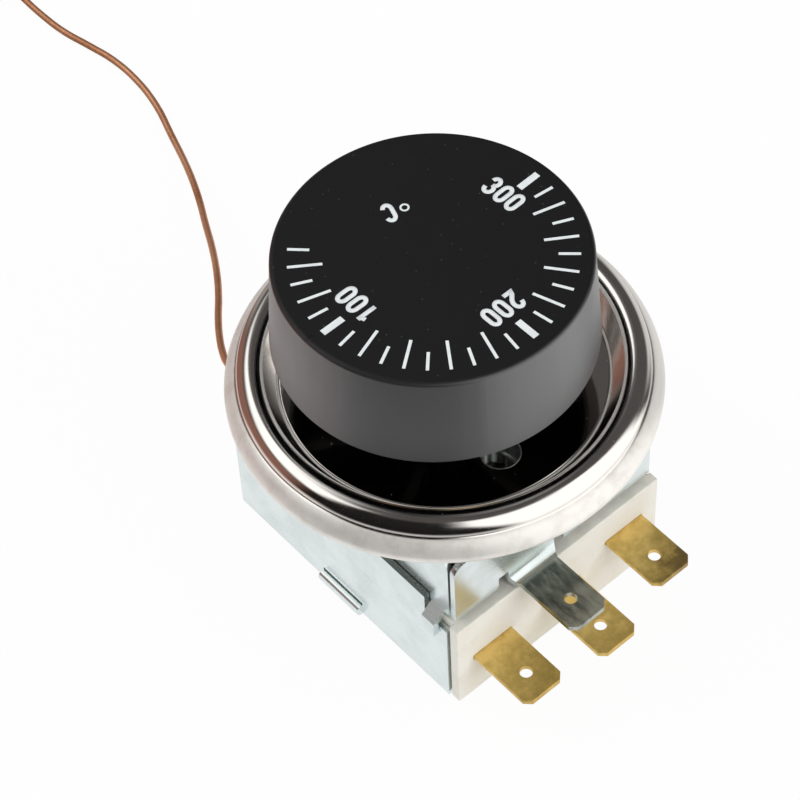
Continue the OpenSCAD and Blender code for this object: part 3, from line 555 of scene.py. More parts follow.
@dataclass(frozen=True)
class KnobResin(Finish):
    """Black moulded resin, finely grained on top and smoother on its side."""

    slot: str = "knob_black"
    tint: Colour = (0.006, 0.006, 0.0065)
    # Lighter copy of the resin for the outer side: painted sheen.
    side: Colour = (0.018, 0.018, 0.021)
    speck_tint: Colour = (0.1, 0.1, 0.1)
    top_z: Flat = (24.35, 24.68)
    wall_r: Flat = (18.6, 18.75)
    nick_turn: float = 1.4
    nick_x: float = -17.9
    nick_y: Flat = (0.05, 0.13)
    nick_z: Flat = (23.2, 24.0)

    def paint(self, sheet: NodeSheet) -> None:
        """Grain, a faint bloom, a coat and a painted sheen (a lighter tint) on the outer side, and
        specks of dust on the top.
        """
        place = sheet.place()
        height = sheet.axis(place, "Z")
        top = sheet.rise(height, *self.top_z)
        outside = sheet.rise(sheet.radius(place), *self.wall_r) * (1.0 - top)
        grain = sheet.noise(place, 5.5, 3.0, 0.6)
        bloom = sheet.noise(place, 0.35, 4.0, 0.6)
        specks = sheet.specks(place, 0.75, 0.07) * top
        scuffs = sheet.noise(sheet.place((1.5, 5.0, 1.5), turn_deg=25.0), 1.0, 3.0)
        marks = sheet.rise(scuffs, 0.7, 0.78) * top
        nicked = sheet.place(turn_deg=self.nick_turn)
        nick = 1.0 - sheet.rise(sheet.bare(sheet.axis(nicked, "Y")), *self.nick_y)
        nick = nick * sheet.edge(self.nick_x - sheet.axis(nicked, "X"), 0.0, 0.1)
        nick = nick * sheet.rise(height, *self.nick_z)
        # Painted sheen: the outer side takes the lighter copy of the same resin.
        resin = sheet.mix(outside, self.tint, self.side)
        resin = sheet.mix(specks * 0.8 + marks * 0.2, resin, self.speck_tint)
        sheet.surface(
            # The nick is painted pure black: painted shade in the notch.
            Base_Color=sheet.mix(nick, resin, (0.0, 0.0, 0.0)),
            Roughness=0.34 + 0.12 * top + 0.1 * bloom,
            Coat_Weight=outside,
            Coat_Roughness=0.42,
            Coat_IOR=1.8,
            Specular_IOR_Level=0.4,
            Normal=sheet.bump(grain - nick * 4.0, 0.25, 0.03),
        )


FINISHES: Dict[str, Finish] = {
    finish.slot: finish
    for finish in (
        ZincPlate(),
        CeramicBody(),
        BrassTab(),
        CopperTube(),
        BezelNickel(),
        DiscNickel(),
        KnobResin(),
        Grained("board", (0.3, 0.16, 0.07), (0.22, 0.11, 0.05), 0.55),
        Grained("pin_ceramic", (0.82, 0.8, 0.74), (0.74, 0.71, 0.64), 0.4),
        Grained("grommet_rubber", (0.025, 0.025, 0.028), (0.04, 0.04, 0.042), 0.6),
        Grained("dial_print", (0.83, 0.87, 0.88), (0.76, 0.8, 0.82), 0.55),
        Metal("contact_metal", (0.86, 0.85, 0.82), (0.7, 0.69, 0.66), 0.28),
        Metal("spring_bronze", (0.7, 0.44, 0.24), (0.5, 0.29, 0.14), 0.3, (0.6, 6.0, 6.0)),
        Metal("spring_steel", (0.5, 0.51, 0.53), (0.34, 0.35, 0.37), 0.25),
        Metal("bush_brass", (0.76, 0.6, 0.3), (0.6, 0.45, 0.2), 0.25, (1.0, 1.0, 8.0)),
        Metal("spindle_steel", (0.62, 0.62, 0.62), (0.46, 0.46, 0.47), 0.28, (1.0, 1.0, 8.0)),
        Metal("capsule_steel", (0.7, 0.69, 0.67), (0.55, 0.54, 0.52), 0.3),
        Metal("rim_steel", (0.9, 0.9, 0.88), (0.8, 0.8, 0.78), 0.35),
        Metal("tie_steel", (0.5, 0.5, 0.5), (0.36, 0.35, 0.34), 0.32),
        Metal("copper_bulb", (0.76, 0.37, 0.2), (0.5, 0.22, 0.11), 0.27, (3.0, 3.0, 3.0), 0.16),
    )
}


class Workpiece:
    """A mesh on the bench: started, shaped with operators, and handed over as an object."""

    merge_m: float = 2e-6
    weld_m: float = 1e-7
    flat_deg: float = 0.6
    sharp_deg: float = 30.0

    def __init__(self) -> None:
        """Starts empty."""
        self.bm = bmesh.new()

    @classmethod
    def copy_of(cls, node: bpy.types.Object) -> "Workpiece":
        """Starts from a CAD node's mesh, with double points merged and flat facets joined."""
        piece = cls()
        bm, flat = piece.bm, math.radians(cls.flat_deg)
        bm.from_mesh(node.data)
        bmesh.ops.remove_doubles(bm, verts=bm.verts, dist=cls.merge_m)
        bmesh.ops.dissolve_limit(bm, angle_limit=flat, verts=bm.verts, edges=bm.edges)
        return piece

    @classmethod
    def turned(
        cls, section: Sequence[Flat], steps: int, centre: Point, closed: bool = True
    ) -> "Workpiece":
        """Turns a section fully round an upright axis.

        Args:
            section: Radius and height pairs, in millimetres.
            steps: Facets in the full turn.
            centre: A point that the origin is shifted to afterwards, in millimetres.
            closed: True where the section closes on itself.

        Returns:
            The workpiece.
        """
        piece = cls()
        bm = piece.bm
        piece.line([(radius, 0.0, z) for radius, z in section], closed)
        bmesh.ops.spin(
            bm, geom=bm.verts[:] + bm.edges[:], cent=(0, 0, 0), axis=(0, 0, 1),
            angle=2 * math.pi, steps=steps, use_merge=True,
        )
        bmesh.ops.remove_doubles(bm, verts=bm.verts, dist=cls.weld_m)
        bmesh.ops.recalc_face_normals(bm, faces=bm.faces)
        bmesh.ops.translate(bm, verts=bm.verts, vec=Vector(centre) * MM)
        return piece

    def line(self, places: Sequence[Point], closed: bool) -> List[bmesh.types.BMEdge]:
        """Lays a line through places in millimetres and returns its edges."""
        verts = [self.bm.verts.new(Vector(place) * MM) for place in places]
        ends = verts[1:] + (verts[:1] if closed else [])
        return [self.bm.edges.new(pair) for pair in zip(verts, ends)]

    def block(self, size: Point, at: Point, turn_deg: float) -> None:
        """Adds a cuboid about a place, both in millimetres, then turned about the origin."""
        matrix = (
            Matrix.Rotation(math.radians(turn_deg), 4, "Z")
            @ Matrix.Translation(Vector(at) * MM)
            @ Matrix.Diagonal((*(Vector(size) * MM), 1.0))
        )
        bmesh.ops.create_cube(self.bm, size=1.0, matrix=matrix)

    def true_up(self, from_mm: float, cuts: int) -> None:
        """Adds points to the level circles outside a radius, and sets them on the true circle.

        Args:
            from_mm: The radius, in millimetres.
            cuts: New points on each edge.
        """
        rings: Dict[float, float] = {}
        edges = []
        for edge in self.bm.edges:
            first, second = (vert.co for vert in edge.verts)
            radius = first.xy.length
            level = abs(first.z - second.z) < self.weld_m
            if level and abs(radius - second.xy.length) < self.merge_m and radius > from_mm * MM:
                edges.append(edge)
                key = round(first.z, 6)
                rings[key] = max(rings.get(key, 0.0), radius)
        bmesh.ops.subdivide_edges(self.bm, edges=edges, cuts=cuts, use_grid_fill=True)
        for vert in self.bm.verts:
            radius = rings.get(round(vert.co.z, 6))
            if radius and vert.co.xy.length > from_mm * MM:
                vert.co.xy = vert.co.xy * (radius / vert.co.xy.length)
        LOG.info("trued %d edges on %d circles", len(edges), len(rings))

    def take(self, other: "Workpiece") -> None:
        """Adds another workpiece's mesh and clears it."""
        mesh = other.mesh("part")
        self.bm.from_mesh(mesh)
        bpy.data.meshes.remove(mesh)

    def ribbon(self, path: Sequence[Vector], low: float, high: float, closed: bool) -> None:
        """Adds an upright wall, its foot at low and high tall, along a path in the XY plane."""
        edges = self.line([(*point, low) for point in path], closed)
        raised = bmesh.ops.extrude_edge_only(self.bm, edges=edges)["geom"]
        lifted = [item for item in raised if isinstance(item, bmesh.types.BMVert)]
        bmesh.ops.translate(self.bm, verts=lifted, vec=(0, 0, high * MM))

    def soften(self, width_mm: float, segments: int) -> None:
        """Bevels each sharp edge."""
        limit = math.radians(self.sharp_deg)
        edges = (edge for edge in self.bm.edges if edge.is_manifold)
        sharp = [edge for edge in edges if edge.calc_face_angle(0.0) > limit]
        bmesh.ops.bevel(
            self.bm, geom=sharp, offset=width_mm * MM, segments=segments, profile=0.5,
            affect="EDGES", clamp_overlap=True, material=-1,
        )

    def mesh(self, name: str) -> bpy.types.Mesh:
        """Ends the workpiece as a mesh."""
        made = bpy.data.meshes.new(name)
        self.bm.to_mesh(made)
        self.bm.free()
        return made

    def hand_over(
        self, name: str, body: str, finish: Finish,
        stands_for: Sequence[str] = (), smooth_deg: float = 28.0,
    ) -> bpy.types.Object:
        """Ends the workpiece as an object that rides on a body.

        Args:
            name: The piece's name.
            body: The CAD body that carries it.
            finish: Its finish.
            stands_for: CAD nodes that it replaces.
            smooth_deg: Edges sharper than this stay sharp in shading.

        Returns:
            The finished object.
        """
        for face in self.bm.faces:
            face.smooth = True
        mesh = self.mesh(name)
        mesh.set_sharp_from_angle(angle=math.radians(smooth_deg))
        piece = linked(name, mesh)
        mesh.materials.append(finish.material())
        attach(piece, body)
        if stands_for:
            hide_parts(*stands_for)
        LOG.info("%s: %d faces, on %s", name, len(mesh.polygons), body)
        return piece


def finish_of(name: str) -> Finish:
    """The finish of a CAD node's slot."""
    slots = {part["node"]: part["material_slot"] for part in FRAME["record"]["subparts"]}
    return FINISHES[slots[name]]


def dress_node(name: str) -> None:
    """Gives a CAD node that is kept the finish of its slot."""
    finish = finish_of(name)
    for slot in FRAME["nodes"][name].material_slots:
        slot.material = finish.material()
    LOG.info("%s: kept from the frame, finish %s", name, finish.slot)


def dress_copy(
    name: str, body: str, edge_mm: float, segments: int = 2, round_from: float = 0.0
) -> None:
    """Replaces a CAD node by a merged copy with softened edges.

    Args:
        name: The node's name.
        body: The body that carries it.
        edge_mm: Width of the bevels.
        segments: Steps in a bevel.
        round_from: Radius in millimetres outside which its circles are made finer, 0 for none.
    """
    piece = Workpiece.copy_of(FRAME["nodes"][name])
    if round_from:
        piece.true_up(round_from, 4)
    piece.soften(edge_mm, segments)
    dressed = piece.hand_over(name + "_dressed", body, finish_of(name), [name])
    even = dressed.modifiers.new("even", "WEIGHTED_NORMAL")
    even.keep_sharp = True


@dataclass(frozen=True)
class Patch:
    """A lit or dark area of the room, in degrees of turn and of height over the horizon.

    Its edges are soft; slant leans the left one, and dip lowers the lower one to the right.
    """

    left: float
    right: float
    low: float
    high: float
    tint: Colour
    soft: float = 5.0
    slant: float = 0.0
    dip: float = 0.0
    slant_top: float = 32.0
    dip_span: Flat = (26.0, 60.0)

    def mask(self, sheet: NodeSheet, turn: Wire, height: Wire) -> Wire:
        """1 inside the area, for a direction's turn and height."""
        lean = turn - self.slant * sheet.maths("MINIMUM", height, self.slant_top)
        foot = height + self.dip * sheet.rise(turn, *(self.left + span for span in self.dip_span))
        left = sheet.edge(lean, self.left, self.soft)
        right = 1.0 - sheet.edge(turn, self.right, self.soft)
        upper = 1.0 - sheet.edge(height, self.high, self.soft)
        return left * right * sheet.edge(foot, self.low, self.soft) * upper


@dataclass(frozen=True)
class SoftBox:
    """A square lamp: its direction in degrees, side and distance in metres, power in watts."""

    name: str
    azimuth: float
    height: float
    side: float
    power: float
    distance: float = 0.9

    def build(self) -> None:
        """Hangs the lamp, aimed at the object; metal sees only the surround."""
        along, up = polar(1.0, self.height)
        way = Vector((*polar(along, self.azimuth), up))
        data = bpy.data.lights.new(self.name, "AREA")
        data.shape = "SQUARE"
        data.size = self.side
        data.energy = self.power
        lamp = linked(self.name, data)
        turned = (-way).to_track_quat("-Z", "Y").to_matrix().to_4x4()
        lamp.matrix_world = Matrix.Translation(way * self.distance) @ turned
        lamp.visible_glossy = False


@dataclass
class Studio:
    """Camera, pale floor, soft boxes and a dark room behind the camera."""

    right: Point = (0.7484665, -0.6622759, -0.0344742)
    up: Point = (0.546451, 0.5864452, 0.5978908)
    back: Point = (-0.3757514, -0.4663397, 0.8008359)
    place_mm: Point = (-143.238666, -170.247377, 294.173568)
    lens_mm: float = 135.0
    sensor_mm: float = 36.0
    clip_m: Flat = (0.01, 20.0)
    floor_z: float = -30.05
    floor_size: float = 6.0
    floor_glow: float = 0.95
    floor_fade: Flat = (45.0, 105.0)
    paper: Colour = (0.88, 0.88, 0.88)
    card: Colour = (0.92, 0.92, 0.92)
    white: Colour = (1.0, 1.0, 1.0)
    ambient: Colour = (0.72, 0.72, 0.72)
    facing_deg: float = -140.0
    rear_turn: Flat = (100.0, 112.0)
    rear_height: Flat = (54.0, 72.0)
    rear: Colour = (0.075, 0.07, 0.067)
    front: Colour = (0.011, 0.01, 0.009)
    patches: Tuple[Patch, ...] = (
        Patch(126.0, 164.0, -95.0, 7.0, (0.66, 0.65, 0.63), 11.0),
        Patch(169.0, 185.0, -36.0, 18.0, (0.012, 0.011, 0.01), 4.0),
        Patch(-185.0, -170.0, -36.0, 18.0, (0.012, 0.011, 0.01), 4.0),
        Patch(-172.0, -140.0, 42.0, 60.0, (0.12, 0.11, 0.11), 6.0),
        Patch(-168.0, -130.0, -95.0, 16.0, (0.31, 0.29, 0.28), 6.0),
        Patch(-130.0, -62.0, -95.0, 22.0, (0.26, 0.125, 0.095), 9.0),
        Patch(-92.0, -44.0, -95.0, -17.0, (0.74, 0.62, 0.56), 7.0),
        Patch(-148.0, -54.0, 36.0, 68.0, (1.25, 1.25, 1.22), 8.0, 0.0, 7.0),
        Patch(29.0, 109.0, -95.0, 66.0, (1.25, 1.24, 1.22), 6.0, -0.41),
    )
    lamps: Tuple[SoftBox, ...] = (
        SoftBox("right_box", -78.0, 28.0, 0.55, 2.3),
        SoftBox("left_box", 128.0, 50.0, 0.5, 1.7),
    )

    def build(self) -> None:
        """Makes the camera, floor, lamps and world."""
        self.camera()
        self.floor()
        for lamp in self.lamps:
            lamp.build()
        self.world()
        bpy.context.scene.view_settings.view_transform = "Standard"

    def camera(self) -> None:
        """The photograph's camera, fitted to the dial, knob and bezel."""
        data = bpy.data.cameras.new("camera")
        data.lens = self.lens_mm
        data.sensor_width = self.sensor_mm
        data.clip_start, data.clip_end = self.clip_m
        camera = linked("camera", data)
        axes = Matrix((self.right, self.up, self.back)).transposed().to_4x4()
        camera.matrix_world = Matrix.Translation(Vector(self.place_mm) * MM) @ axes
        bpy.context.scene.camera = camera

    def floor(self) -> None:
        """White floor that keeps a soft shadow; metal sees it end in the dark room."""
        plain = Workpiece()
        bmesh.ops.create_grid(plain.bm, x_segments=1, y_segments=1, size=self.floor_size / 2)
        bmesh.ops.translate(plain.bm, verts=plain.bm.verts, vec=(0, 0, self.floor_z * MM))
        mesh = plain.mesh("floor")
        piece = linked("floor", mesh)
        material = bpy.data.materials.new("floor_white")
        sheet = NodeSheet(material)
        place = sheet.place()
        far = sheet.rise(sheet.vector("LENGTH", place, output="Value"), *self.floor_fade)
        room = self.surround(sheet, sheet.vector("NORMALIZE", place))
        paper = sheet.node("BsdfDiffuse", {"Color": self.paper})
        glow, card = (
            sheet.node("Emission", {"Color": tint, "Strength": 1.0})
            for tint in (self.white, sheet.mix(far, self.card, room))
        )
        shown = sheet.node("MixShader", {0: sheet.seen() * self.floor_glow, 1: paper, 2: glow})
        sheet.finish(sheet.node("MixShader", {0: sheet.ray("Glossy"), 1: shown, 2: card}))
        mesh.materials.append(material)
        piece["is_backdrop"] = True

    def surround(self, sheet: NodeSheet, way: Wire) -> Wire:
        """What metal sees of the room.

        Args:
            sheet: The sheet to write on.
            way: The direction looked in, of length one.

        Returns:
            The colour there: two soft boxes, a grey rear, a red wall and a dark camera side.
        """
        ahead, beside = (
            sheet.vector("DOT_PRODUCT", way, (*polar(1.0, degrees), 0.0), output="Value")
            for degrees in (self.facing_deg, self.facing_deg + 90.0)
        )
        turn = sheet.maths("ARCTAN2", beside, ahead) * math.degrees(1.0)
        height = sheet.maths("ARCSINE", sheet.axis(way, "Z")) * math.degrees(1.0)
        around = sheet.rise(sheet.bare(turn), *self.rear_turn)
        behind = sheet.maths("MAXIMUM", around, sheet.rise(height, *self.rear_height))
        colour: Tint = sheet.mix(behind, self.front, self.rear)
        for patch in self.patches:
            colour = sheet.mix(patch.mask(sheet, turn, height), colour, patch.tint)
        return colour

    def world(self) -> None:
        """White for the camera, even light for matt faces, the room for metal."""
        world = bpy.data.worlds.new("studio")
        bpy.context.scene.world = world
        sheet = NodeSheet(world)
        way = sheet.vector("NORMALIZE", sheet.node("TexCoord", {}, "Generated"))
        even = sheet.mix(sheet.seen(), self.ambient, self.white)
        shown = sheet.mix(sheet.ray("Glossy"), even, self.surround(sheet, way))
        shader = sheet.node("Background", {"Color": shown, "Strength": 1.0})
        sheet.finish(shader, "OutputWorld")


@dataclass
class Capillary:
    """Copper tube from the body to the stored coil, and the bulb at its end."""

    diameter_mm: float = 1.0
    length_mm: float = 1000.0
    round_steps: int = 5
    path_steps: int = 4
    lead: Tuple[Point, ...] = (
        (-9.0, 22.0, -12.0), (-9.0, 23.1, -12.0), (-9.3, 24.6, -12.5),
        (-10.4, 25.9, -13.3), (-11.0, 27.6, -14.1), (-10.7, 29.6, -14.9),
        (-9.6, 32.0, -15.8), (-7.9, 34.8, -16.9), (-5.2, 38.6, -18.6),
        (-2.2, 42.4, -20.3), (1.1, 47.0, -22.2), (4.3, 52.1, -24.1),
        (7.4, 57.7, -25.9), (10.5, 63.3, -27.4), (13.4, 69.5, -28.6),
        (16.0, 76.5, -29.3), (18.1, 82.7, -29.4), (19.1, 88.5, -29.4),
        (19.1, 94.1, -29.4), (18.3, 98.7, -29.4), (17.3, 103.7, -29.4),
        (17.0, 108.6, -29.4), (17.1, 113.8, -29.4), (17.3, 119.0, -29.3),
        (17.35, 123.4, -29.1),
    )
    tail: Tuple[Point, ...] = (
        (-3.45, 123.4, -28.9), (-3.1, 121.0, -28.7), (-3.6, 118.0, -28.2),
        (-4.9, 115.4, -27.5), (-7.0, 112.4, -27.0),
    )
    centre: Flat = (7.2, 127.0)
    middle_z: float = -27.5
    pitch: float = 1.05
    mean_r: float = 8.5
    layers: int = 4
    per_turn: int = 18
    cross_deg: Flat = (280.0, 340.0)
    leave_deg: float = 180.0
    leave_mm: float = 1.1
    leave_share: float = 0.15

    def slot_place(self, ring: float, level: float) -> Flat:
        """Radius and height of a place in the bundle, counted from its inner, lower corner."""
        half = (self.layers - 1) / 2
        return self.mean_r + (ring - half) * self.pitch, self.middle_z + (level - half) * self.pitch

    def coil(self) -> List[Point]:
        """Points of the wound turns, in millimetres, counter-clockwise seen from above."""
        rings = range(self.layers)
        order = [(ring, level) for level in rings for ring in rings[:: 1 if level % 2 else -1]]
        step = 360.0 / self.per_turn
        start = self.cross_deg[1] - 360.0
        width = self.cross_deg[1] - self.cross_deg[0]
        points = []
        for i in range(math.ceil((360.0 * len(order) - width) / step - 0.5)):
            turn, local = divmod(i * step, 360.0)
            share = ease(1.0 + (local - 360.0) / width)
            here = self.slot_place(*order[int(turn)])
            after = self.slot_place(*order[min(int(turn) + 1, len(order) - 1)])
            radius, z = (a + (b - a) * share for a, b in zip(here, after))
            points.append(self.at(start + i * step, radius, z))
        return points + self.way_out(start + len(points) * step)

    def at(self, angle: float, radius: float, z: float) -> Point:
        """Point at an angle in degrees about the coil's centre."""
        x, y = polar(radius, angle)
        return self.centre[0] + x, self.centre[1] + y, z

    def way_out(self, start: float) -> List[Point]:
        """Last, outer turn that comes down beside the bundle to the tail."""
        outer, top = self.slot_place(self.layers - 1, self.layers - 1)
        sweep = (self.leave_deg - start) % 360.0
        count = max(int(sweep / (360.0 / self.per_turn)), 1)
        points = []
        for i in range(count + 1):
            share = i / count
            radius = outer + self.leave_mm * min(share / self.leave_share, 1.0)
            z = top + (self.tail[0][2] - top) * ease(share)
            points.append(self.at(start + sweep * share, radius, z))
        return points

    def build(self) -> None:
        """Makes the tube as one curve and dresses the bulb, tie, grommet and stub."""
        points = list(self.lead) + self.coil() + list(self.tail)
        data = bpy.data.curves.new("capillary_line", "CURVE")
        data.dimensions = "3D"
        data.bevel_depth = self.diameter_mm / 2 * MM
        data.bevel_resolution = self.round_steps
        data.resolution_u = self.path_steps
        data.use_fill_caps = True
        line = data.splines.new("BEZIER")
        line.bezier_points.add(len(points) - 1)
        for knot, point in zip(line.bezier_points, points):
            knot.co = Vector(point) * MM
            knot.handle_left_type = "AUTO"
            knot.handle_right_type = "AUTO"
        piece = linked("capillary_line", data)
        data.materials.append(FINISHES["copper_tube"].material())
        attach(piece, "housing")
        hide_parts("capillary_tube", "capillary_coil", "capillary_tail")
        for name in ("sensor_bulb", "coil_tie", "capillary_grommet", "capillary_stub"):
            dress_node(name)
        tuple(c * MM for c in self.lead[0])
        LOG.info("capillary_line: %d points", len(points))


@dataclass(frozen=True)
class Assembly:
    """CAD nodes that belong together: copies, with their bevel's width and steps, and kept."""

    copies: Copies = ()
    kept: Names = ()

    def build(self) -> None:
        """Makes the copies, which ride on the housing, and dresses the kept nodes."""
        for name, edge_mm, segments in self.copies:
            dress_copy(name, "housing", edge_mm, segments)
        for name in self.kept:
            dress_node(name)


@dataclass(frozen=True)
class Housing(Assembly):
    """Folded frame, rear cover and ceramic block, with what sits in them."""

    copies: Copies = (
        ("front_frame", 0.12, 2), ("rear_cover", 0.12, 2), ("terminal_block", 0.22, 3),
    )
    kept: Names = ("guide_board", "spindle_bush")


@dataclass(frozen=True)
class Switch(Assembly):
    """Terminals, contacts, snap blade and push pin."""

    copies: Copies = (
        ("common_terminal", 0.1, 2), ("lower_terminal", 0.1, 2), ("upper_terminal", 0.1, 2),
    )
    kept: Names = (
        "upper_contact", "lower_contact", "snap_blade", "moving_contact", "push_pin", "pin_spring",
    )


@dataclass(frozen=True)
class Drive(Assembly):
    """Spindle, stop, friction and the capsule that the spindle lifts."""

    kept: Names = (
        "control_spindle", "stop_collar", "friction_washer", "spindle_circlip",
        "capsule_carrier", "capsule_shell", "capsule_diaphragm",
    )


@dataclass
class Bezel:
    """Rolled nickel ring and the polished disc in it."""

    outer_r: float = 27.05
    inner_r: float = 20.3
    sheet_t: float = 0.5
    disc_z: float = 2.2
    disc_edge: float = 0.1
    seat_z: float = 1.58
    seat_w: float = 1.6
    steps: int = 240
    smooth_deg: float = 40.0
    hole_at: Tuple[Flat, ...] = ((-2.549, -14.241), (3.749, 13.041))
    hole_r: float = 2.5
    rim: Tuple[Flat, ...] = ((-0.1, -0.2), (0.02, -0.2), (0.02, 0.015), (-0.04, 0.015))
    rim_steps: int = 60

    def hole_edge(self) -> None:
        """Adds the bare rim of each screw hole in the disc."""
        section = [(self.hole_r + out, self.disc_z + up) for out, up in self.rim]
        rims = Workpiece()
        for at in self.hole_at:
            rims.take(Workpiece.turned(section, self.rim_steps, (*at, 0.0)))
        rims.hand_over("disc_hole_rims", "housing", FINISHES["rim_steel"])

    def arc(
        self, radius: float, inset: float, z: float, start: int, end: int, step: int
    ) -> List[Flat]:
        """Points of an arc whose middle is inset from the ring's edge; 0 degrees is outwards."""
        middle = self.outer_r - inset
        turns = (polar(radius, degrees) for degrees in range(start, end + 1, step))
        return [(middle + x, z + y) for x, y in turns]

    def face(self) -> List[Flat]:
        """Outer face of the ring as radius and height, from the skirt's foot inwards."""
        skirt = ((0.14, 1.65), (0.32, 2.1), (0.56, 2.52), (0.86, 2.88))
        ledge = ((1.14, 3.13), (1.38, 3.29), (1.54, 3.36), (1.6, 3.42))
        step = ((0.36, 2.38), (0.27, 2.3), (0.14, 2.26), (0.03, 2.18), (0.0, 2.05))
        flank = [(self.outer_r - inset, z) for inset, z in skirt + ledge]
        inside = [(self.inner_r + rest, z) for rest, z in step]
        seat = [(self.inner_r - width, self.seat_z) for width in (0.0, self.seat_w)]
        foot = self.arc(1.6, 1.6, 1.0, -40, 15, 5)
        crest = self.arc(1.9, 3.5, 3.5, 0, 144, 6)
        return foot + flank + crest + inside + seat

    def build(self) -> None:
        """Spins the ring and softens the disc."""
        ring = Workpiece.turned(self.face(), self.steps, BEZEL_CENTRE, False)
        nickel = FINISHES["bezel_nickel"]
        piece = ring.hand_over(
            "bezel_ring_dressed", "housing", nickel, ["bezel_ring"], self.smooth_deg
        )
        wall = piece.modifiers.new("sheet", "SOLIDIFY")
        wall.thickness = self.sheet_t * MM
        wall.offset = -1.0
        dress_copy("bezel_disc", "housing", self.disc_edge)
        self.hole_edge()


class Glyph(Enum):
    """Characters of the print, as pen lines in a cell one wide and one high."""

    ZERO = "0"
    ONE = "1"
    TWO = "2"
    THREE = "3"
    CELSIUS = "C"

    @staticmethod
    def bow(x: float, y: float, wide: float, high: float, start: int, end: int) -> List[Flat]:
        """Points of an elliptic bow about x and y, in steps of 15 degrees."""
        step = 15 if end > start else -15
        turns = [math.radians(a) for a in range(start, end + step // 15, step)]
        return [(x + wide * math.cos(t), y + high * math.sin(t)) for t in turns]

    def strokes(self) -> List[Tuple[List[Flat], bool]]:
        """The pen lines, each with True where it closes on itself."""
        bow = self.bow
        if self is Glyph.ONE:
            flag = [(0.0, 0.84), (0.3, 0.87), (0.62, 0.97)]
            return [([(0.62, 0.0), (0.62, 1.08)], False), (flag, False)]
        if self is Glyph.TWO:
            neck = [(0.97, 0.6), (0.8, 0.45), (0.16, 0.16), (0.04, 0.0), (1.12, 0.0)]
            return [(bow(0.5, 0.73, 0.5, 0.27, 180, 0) + neck, False)]
        if self is Glyph.THREE:
            upper = bow(0.48, 0.76, 0.46, 0.24, 180, -75) + [(0.42, 0.525)]
            return [(upper, False), (bow(0.48, 0.26, 0.52, 0.26, 75, -180), False)]
        gap = 0 if self is Glyph.ZERO else 15
        oval = bow(0.5, 0.72, 0.5, 0.28, gap, 180) + bow(0.5, 0.28, 0.5, 0.28, 180, 360 - gap)
        return [(oval, gap == 0)]


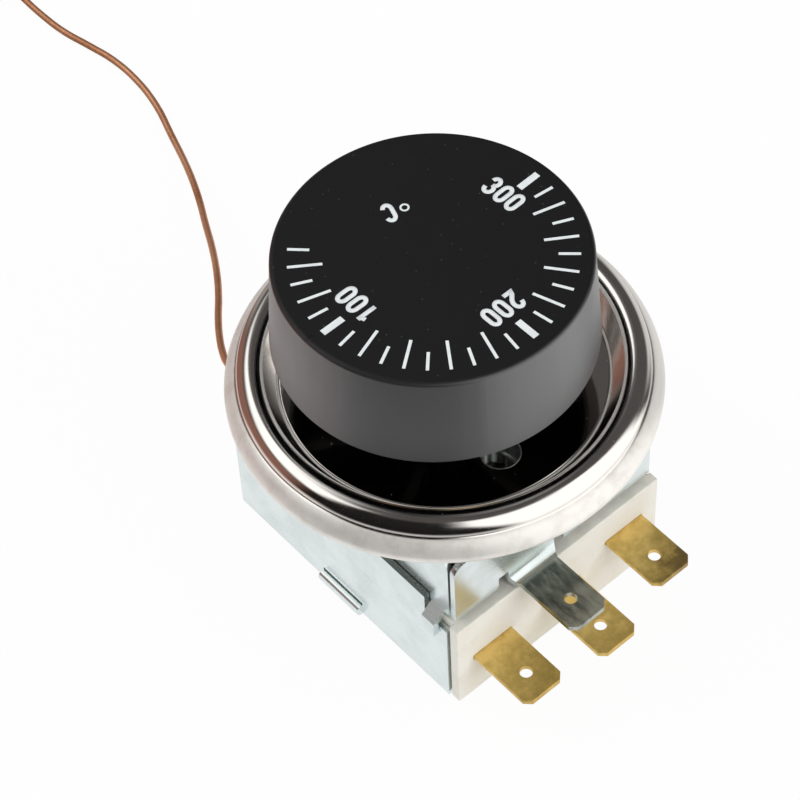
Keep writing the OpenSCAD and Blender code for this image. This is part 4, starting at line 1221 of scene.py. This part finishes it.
@dataclass
class Dial:
    """Knob with its printed scale."""

    top_z: float = 24.7
    first_deg: float = 134.884
    step_deg: float = 9.088
    marks: int = 26
    outer_r: float = 17.14
    short_r: float = 14.53
    long_r: float = 13.0
    bar_r: float = 14.07
    tick_w: float = 0.38
    bar_w: float = 0.88
    ink_t: float = 0.03
    ink_step: float = 0.009
    centre: Flat = (0.173, -0.046)
    pen: float = 0.56
    digit_w: float = 1.05
    digit_h: float = 2.46
    pitch: float = 1.86
    labels: Tuple[Tuple[str, Flat, float], ...] = (
        ("100", (-11.3, 0.35), 180.4),
        ("200", (0.5, -11.6), 271.2),
        ("300", (12.25, 1.05), 2.0),
    )
    unit_at: Flat = (0.45, 8.12)
    unit_deg: float = 252.0
    ring_at: Flat = (2.34, 7.5)
    ring_r: Flat = (0.36, 0.6)
    ring_steps: int = 40
    knob_edge: float = 0.15
    knob_wall: float = 18.44

    def scale_marks(self, piece: Workpiece) -> None:
        """Adds the ticks and the three bars."""
        for i in range(self.marks):
            degrees = 50 + 10 * i
            if degrees % 100 == 0:
                inner, width = self.bar_r, self.bar_w
            elif degrees % 20 == 0:
                inner, width = self.long_r, self.tick_w
            else:
                inner, width = self.short_r, self.tick_w
            size = (self.outer_r - inner, width, 2 * self.ink_t)
            middle = ((self.outer_r + inner) / 2, 0.0, self.top_z)
            piece.block(size, middle, self.first_deg + i * self.step_deg)
        bmesh.ops.translate(piece.bm, verts=piece.bm.verts, vec=Vector((*self.centre, 0.0)) * MM)

    def write(self, piece: Workpiece, words: str, at: Flat, up_deg: float) -> None:
        """Adds a row of characters as upright ribbons along their pen lines.

        Args:
            piece: The workpiece to add them to.
            words: The characters.
            at: The row's middle in millimetres.
            up_deg: Direction of its upper side.
        """
        low, high = self.top_z - self.ink_t, 2 * self.ink_t
        top = Vector(polar(1.0, up_deg))
        along = Vector(polar(1.0, up_deg - 90.0))
        for i, letter in enumerate(words):
            middle = Vector(at) + along * ((i - (len(words) - 1) / 2) * self.pitch)
            for layer, (line, closed) in enumerate(Glyph(letter).strokes()):
                path = [
                    middle + along * ((x - 0.5) * self.digit_w) + top * ((y - 0.5) * self.digit_h)
                    for x, y in line
                ]
                piece.ribbon(path, low, high + self.ink_step * layer, closed)

    def degree_ring(self, piece: Workpiece) -> None:
        """Adds the small ring of the degree sign."""
        (inner, outer), ink = self.ring_r, self.ink_t
        section = [(inner, -ink), (outer, -ink), (outer, ink), (inner, ink)]
        piece.take(Workpiece.turned(section, self.ring_steps, (*self.ring_at, self.top_z)))

    def build(self) -> None:
        """Dresses the knob, prints its scale and dresses the clip inside."""
        dress_copy("control_knob", "spindle", self.knob_edge, 3, self.knob_wall)
        marks = Workpiece()
        self.scale_marks(marks)
        self.degree_ring(marks)
        marks.hand_over("dial_marks", "spindle", FINISHES["dial_print"])
        numbers = Workpiece()
        for words, at, up_deg in self.labels:
            self.write(numbers, words, at, up_deg)
        self.write(numbers, "C", self.unit_at, self.unit_deg)
        piece = numbers.hand_over("dial_numbers", "spindle", FINISHES["dial_print"])
        pen = piece.modifiers.new("pen", "SOLIDIFY")
        pen.thickness = self.pen * MM
        pen.offset = 0.0
        pen.use_even_offset = True
        dress_node("knob_clip")


def main() -> None:
    """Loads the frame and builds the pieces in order."""
    logging.basicConfig(level=logging.INFO, format="%(message)s")
    FRAME.update(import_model())
    cad_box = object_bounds()
    for group in (Studio(), Capillary(), Housing(), Switch(), Drive(), Bezel(), Dial()):
        group.build()
    new_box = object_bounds()
    boxes = [[list(corner) for corner in box] for box in (cad_box, new_box)]
    for (low, high), label in zip(boxes, ("CAD box", "dressed box")):
        LOG.info("%s: %s to %s", label, [round(c, 4) for c in low], [round(c, 4) for c in high])


if __name__ == "__main__":
    main()
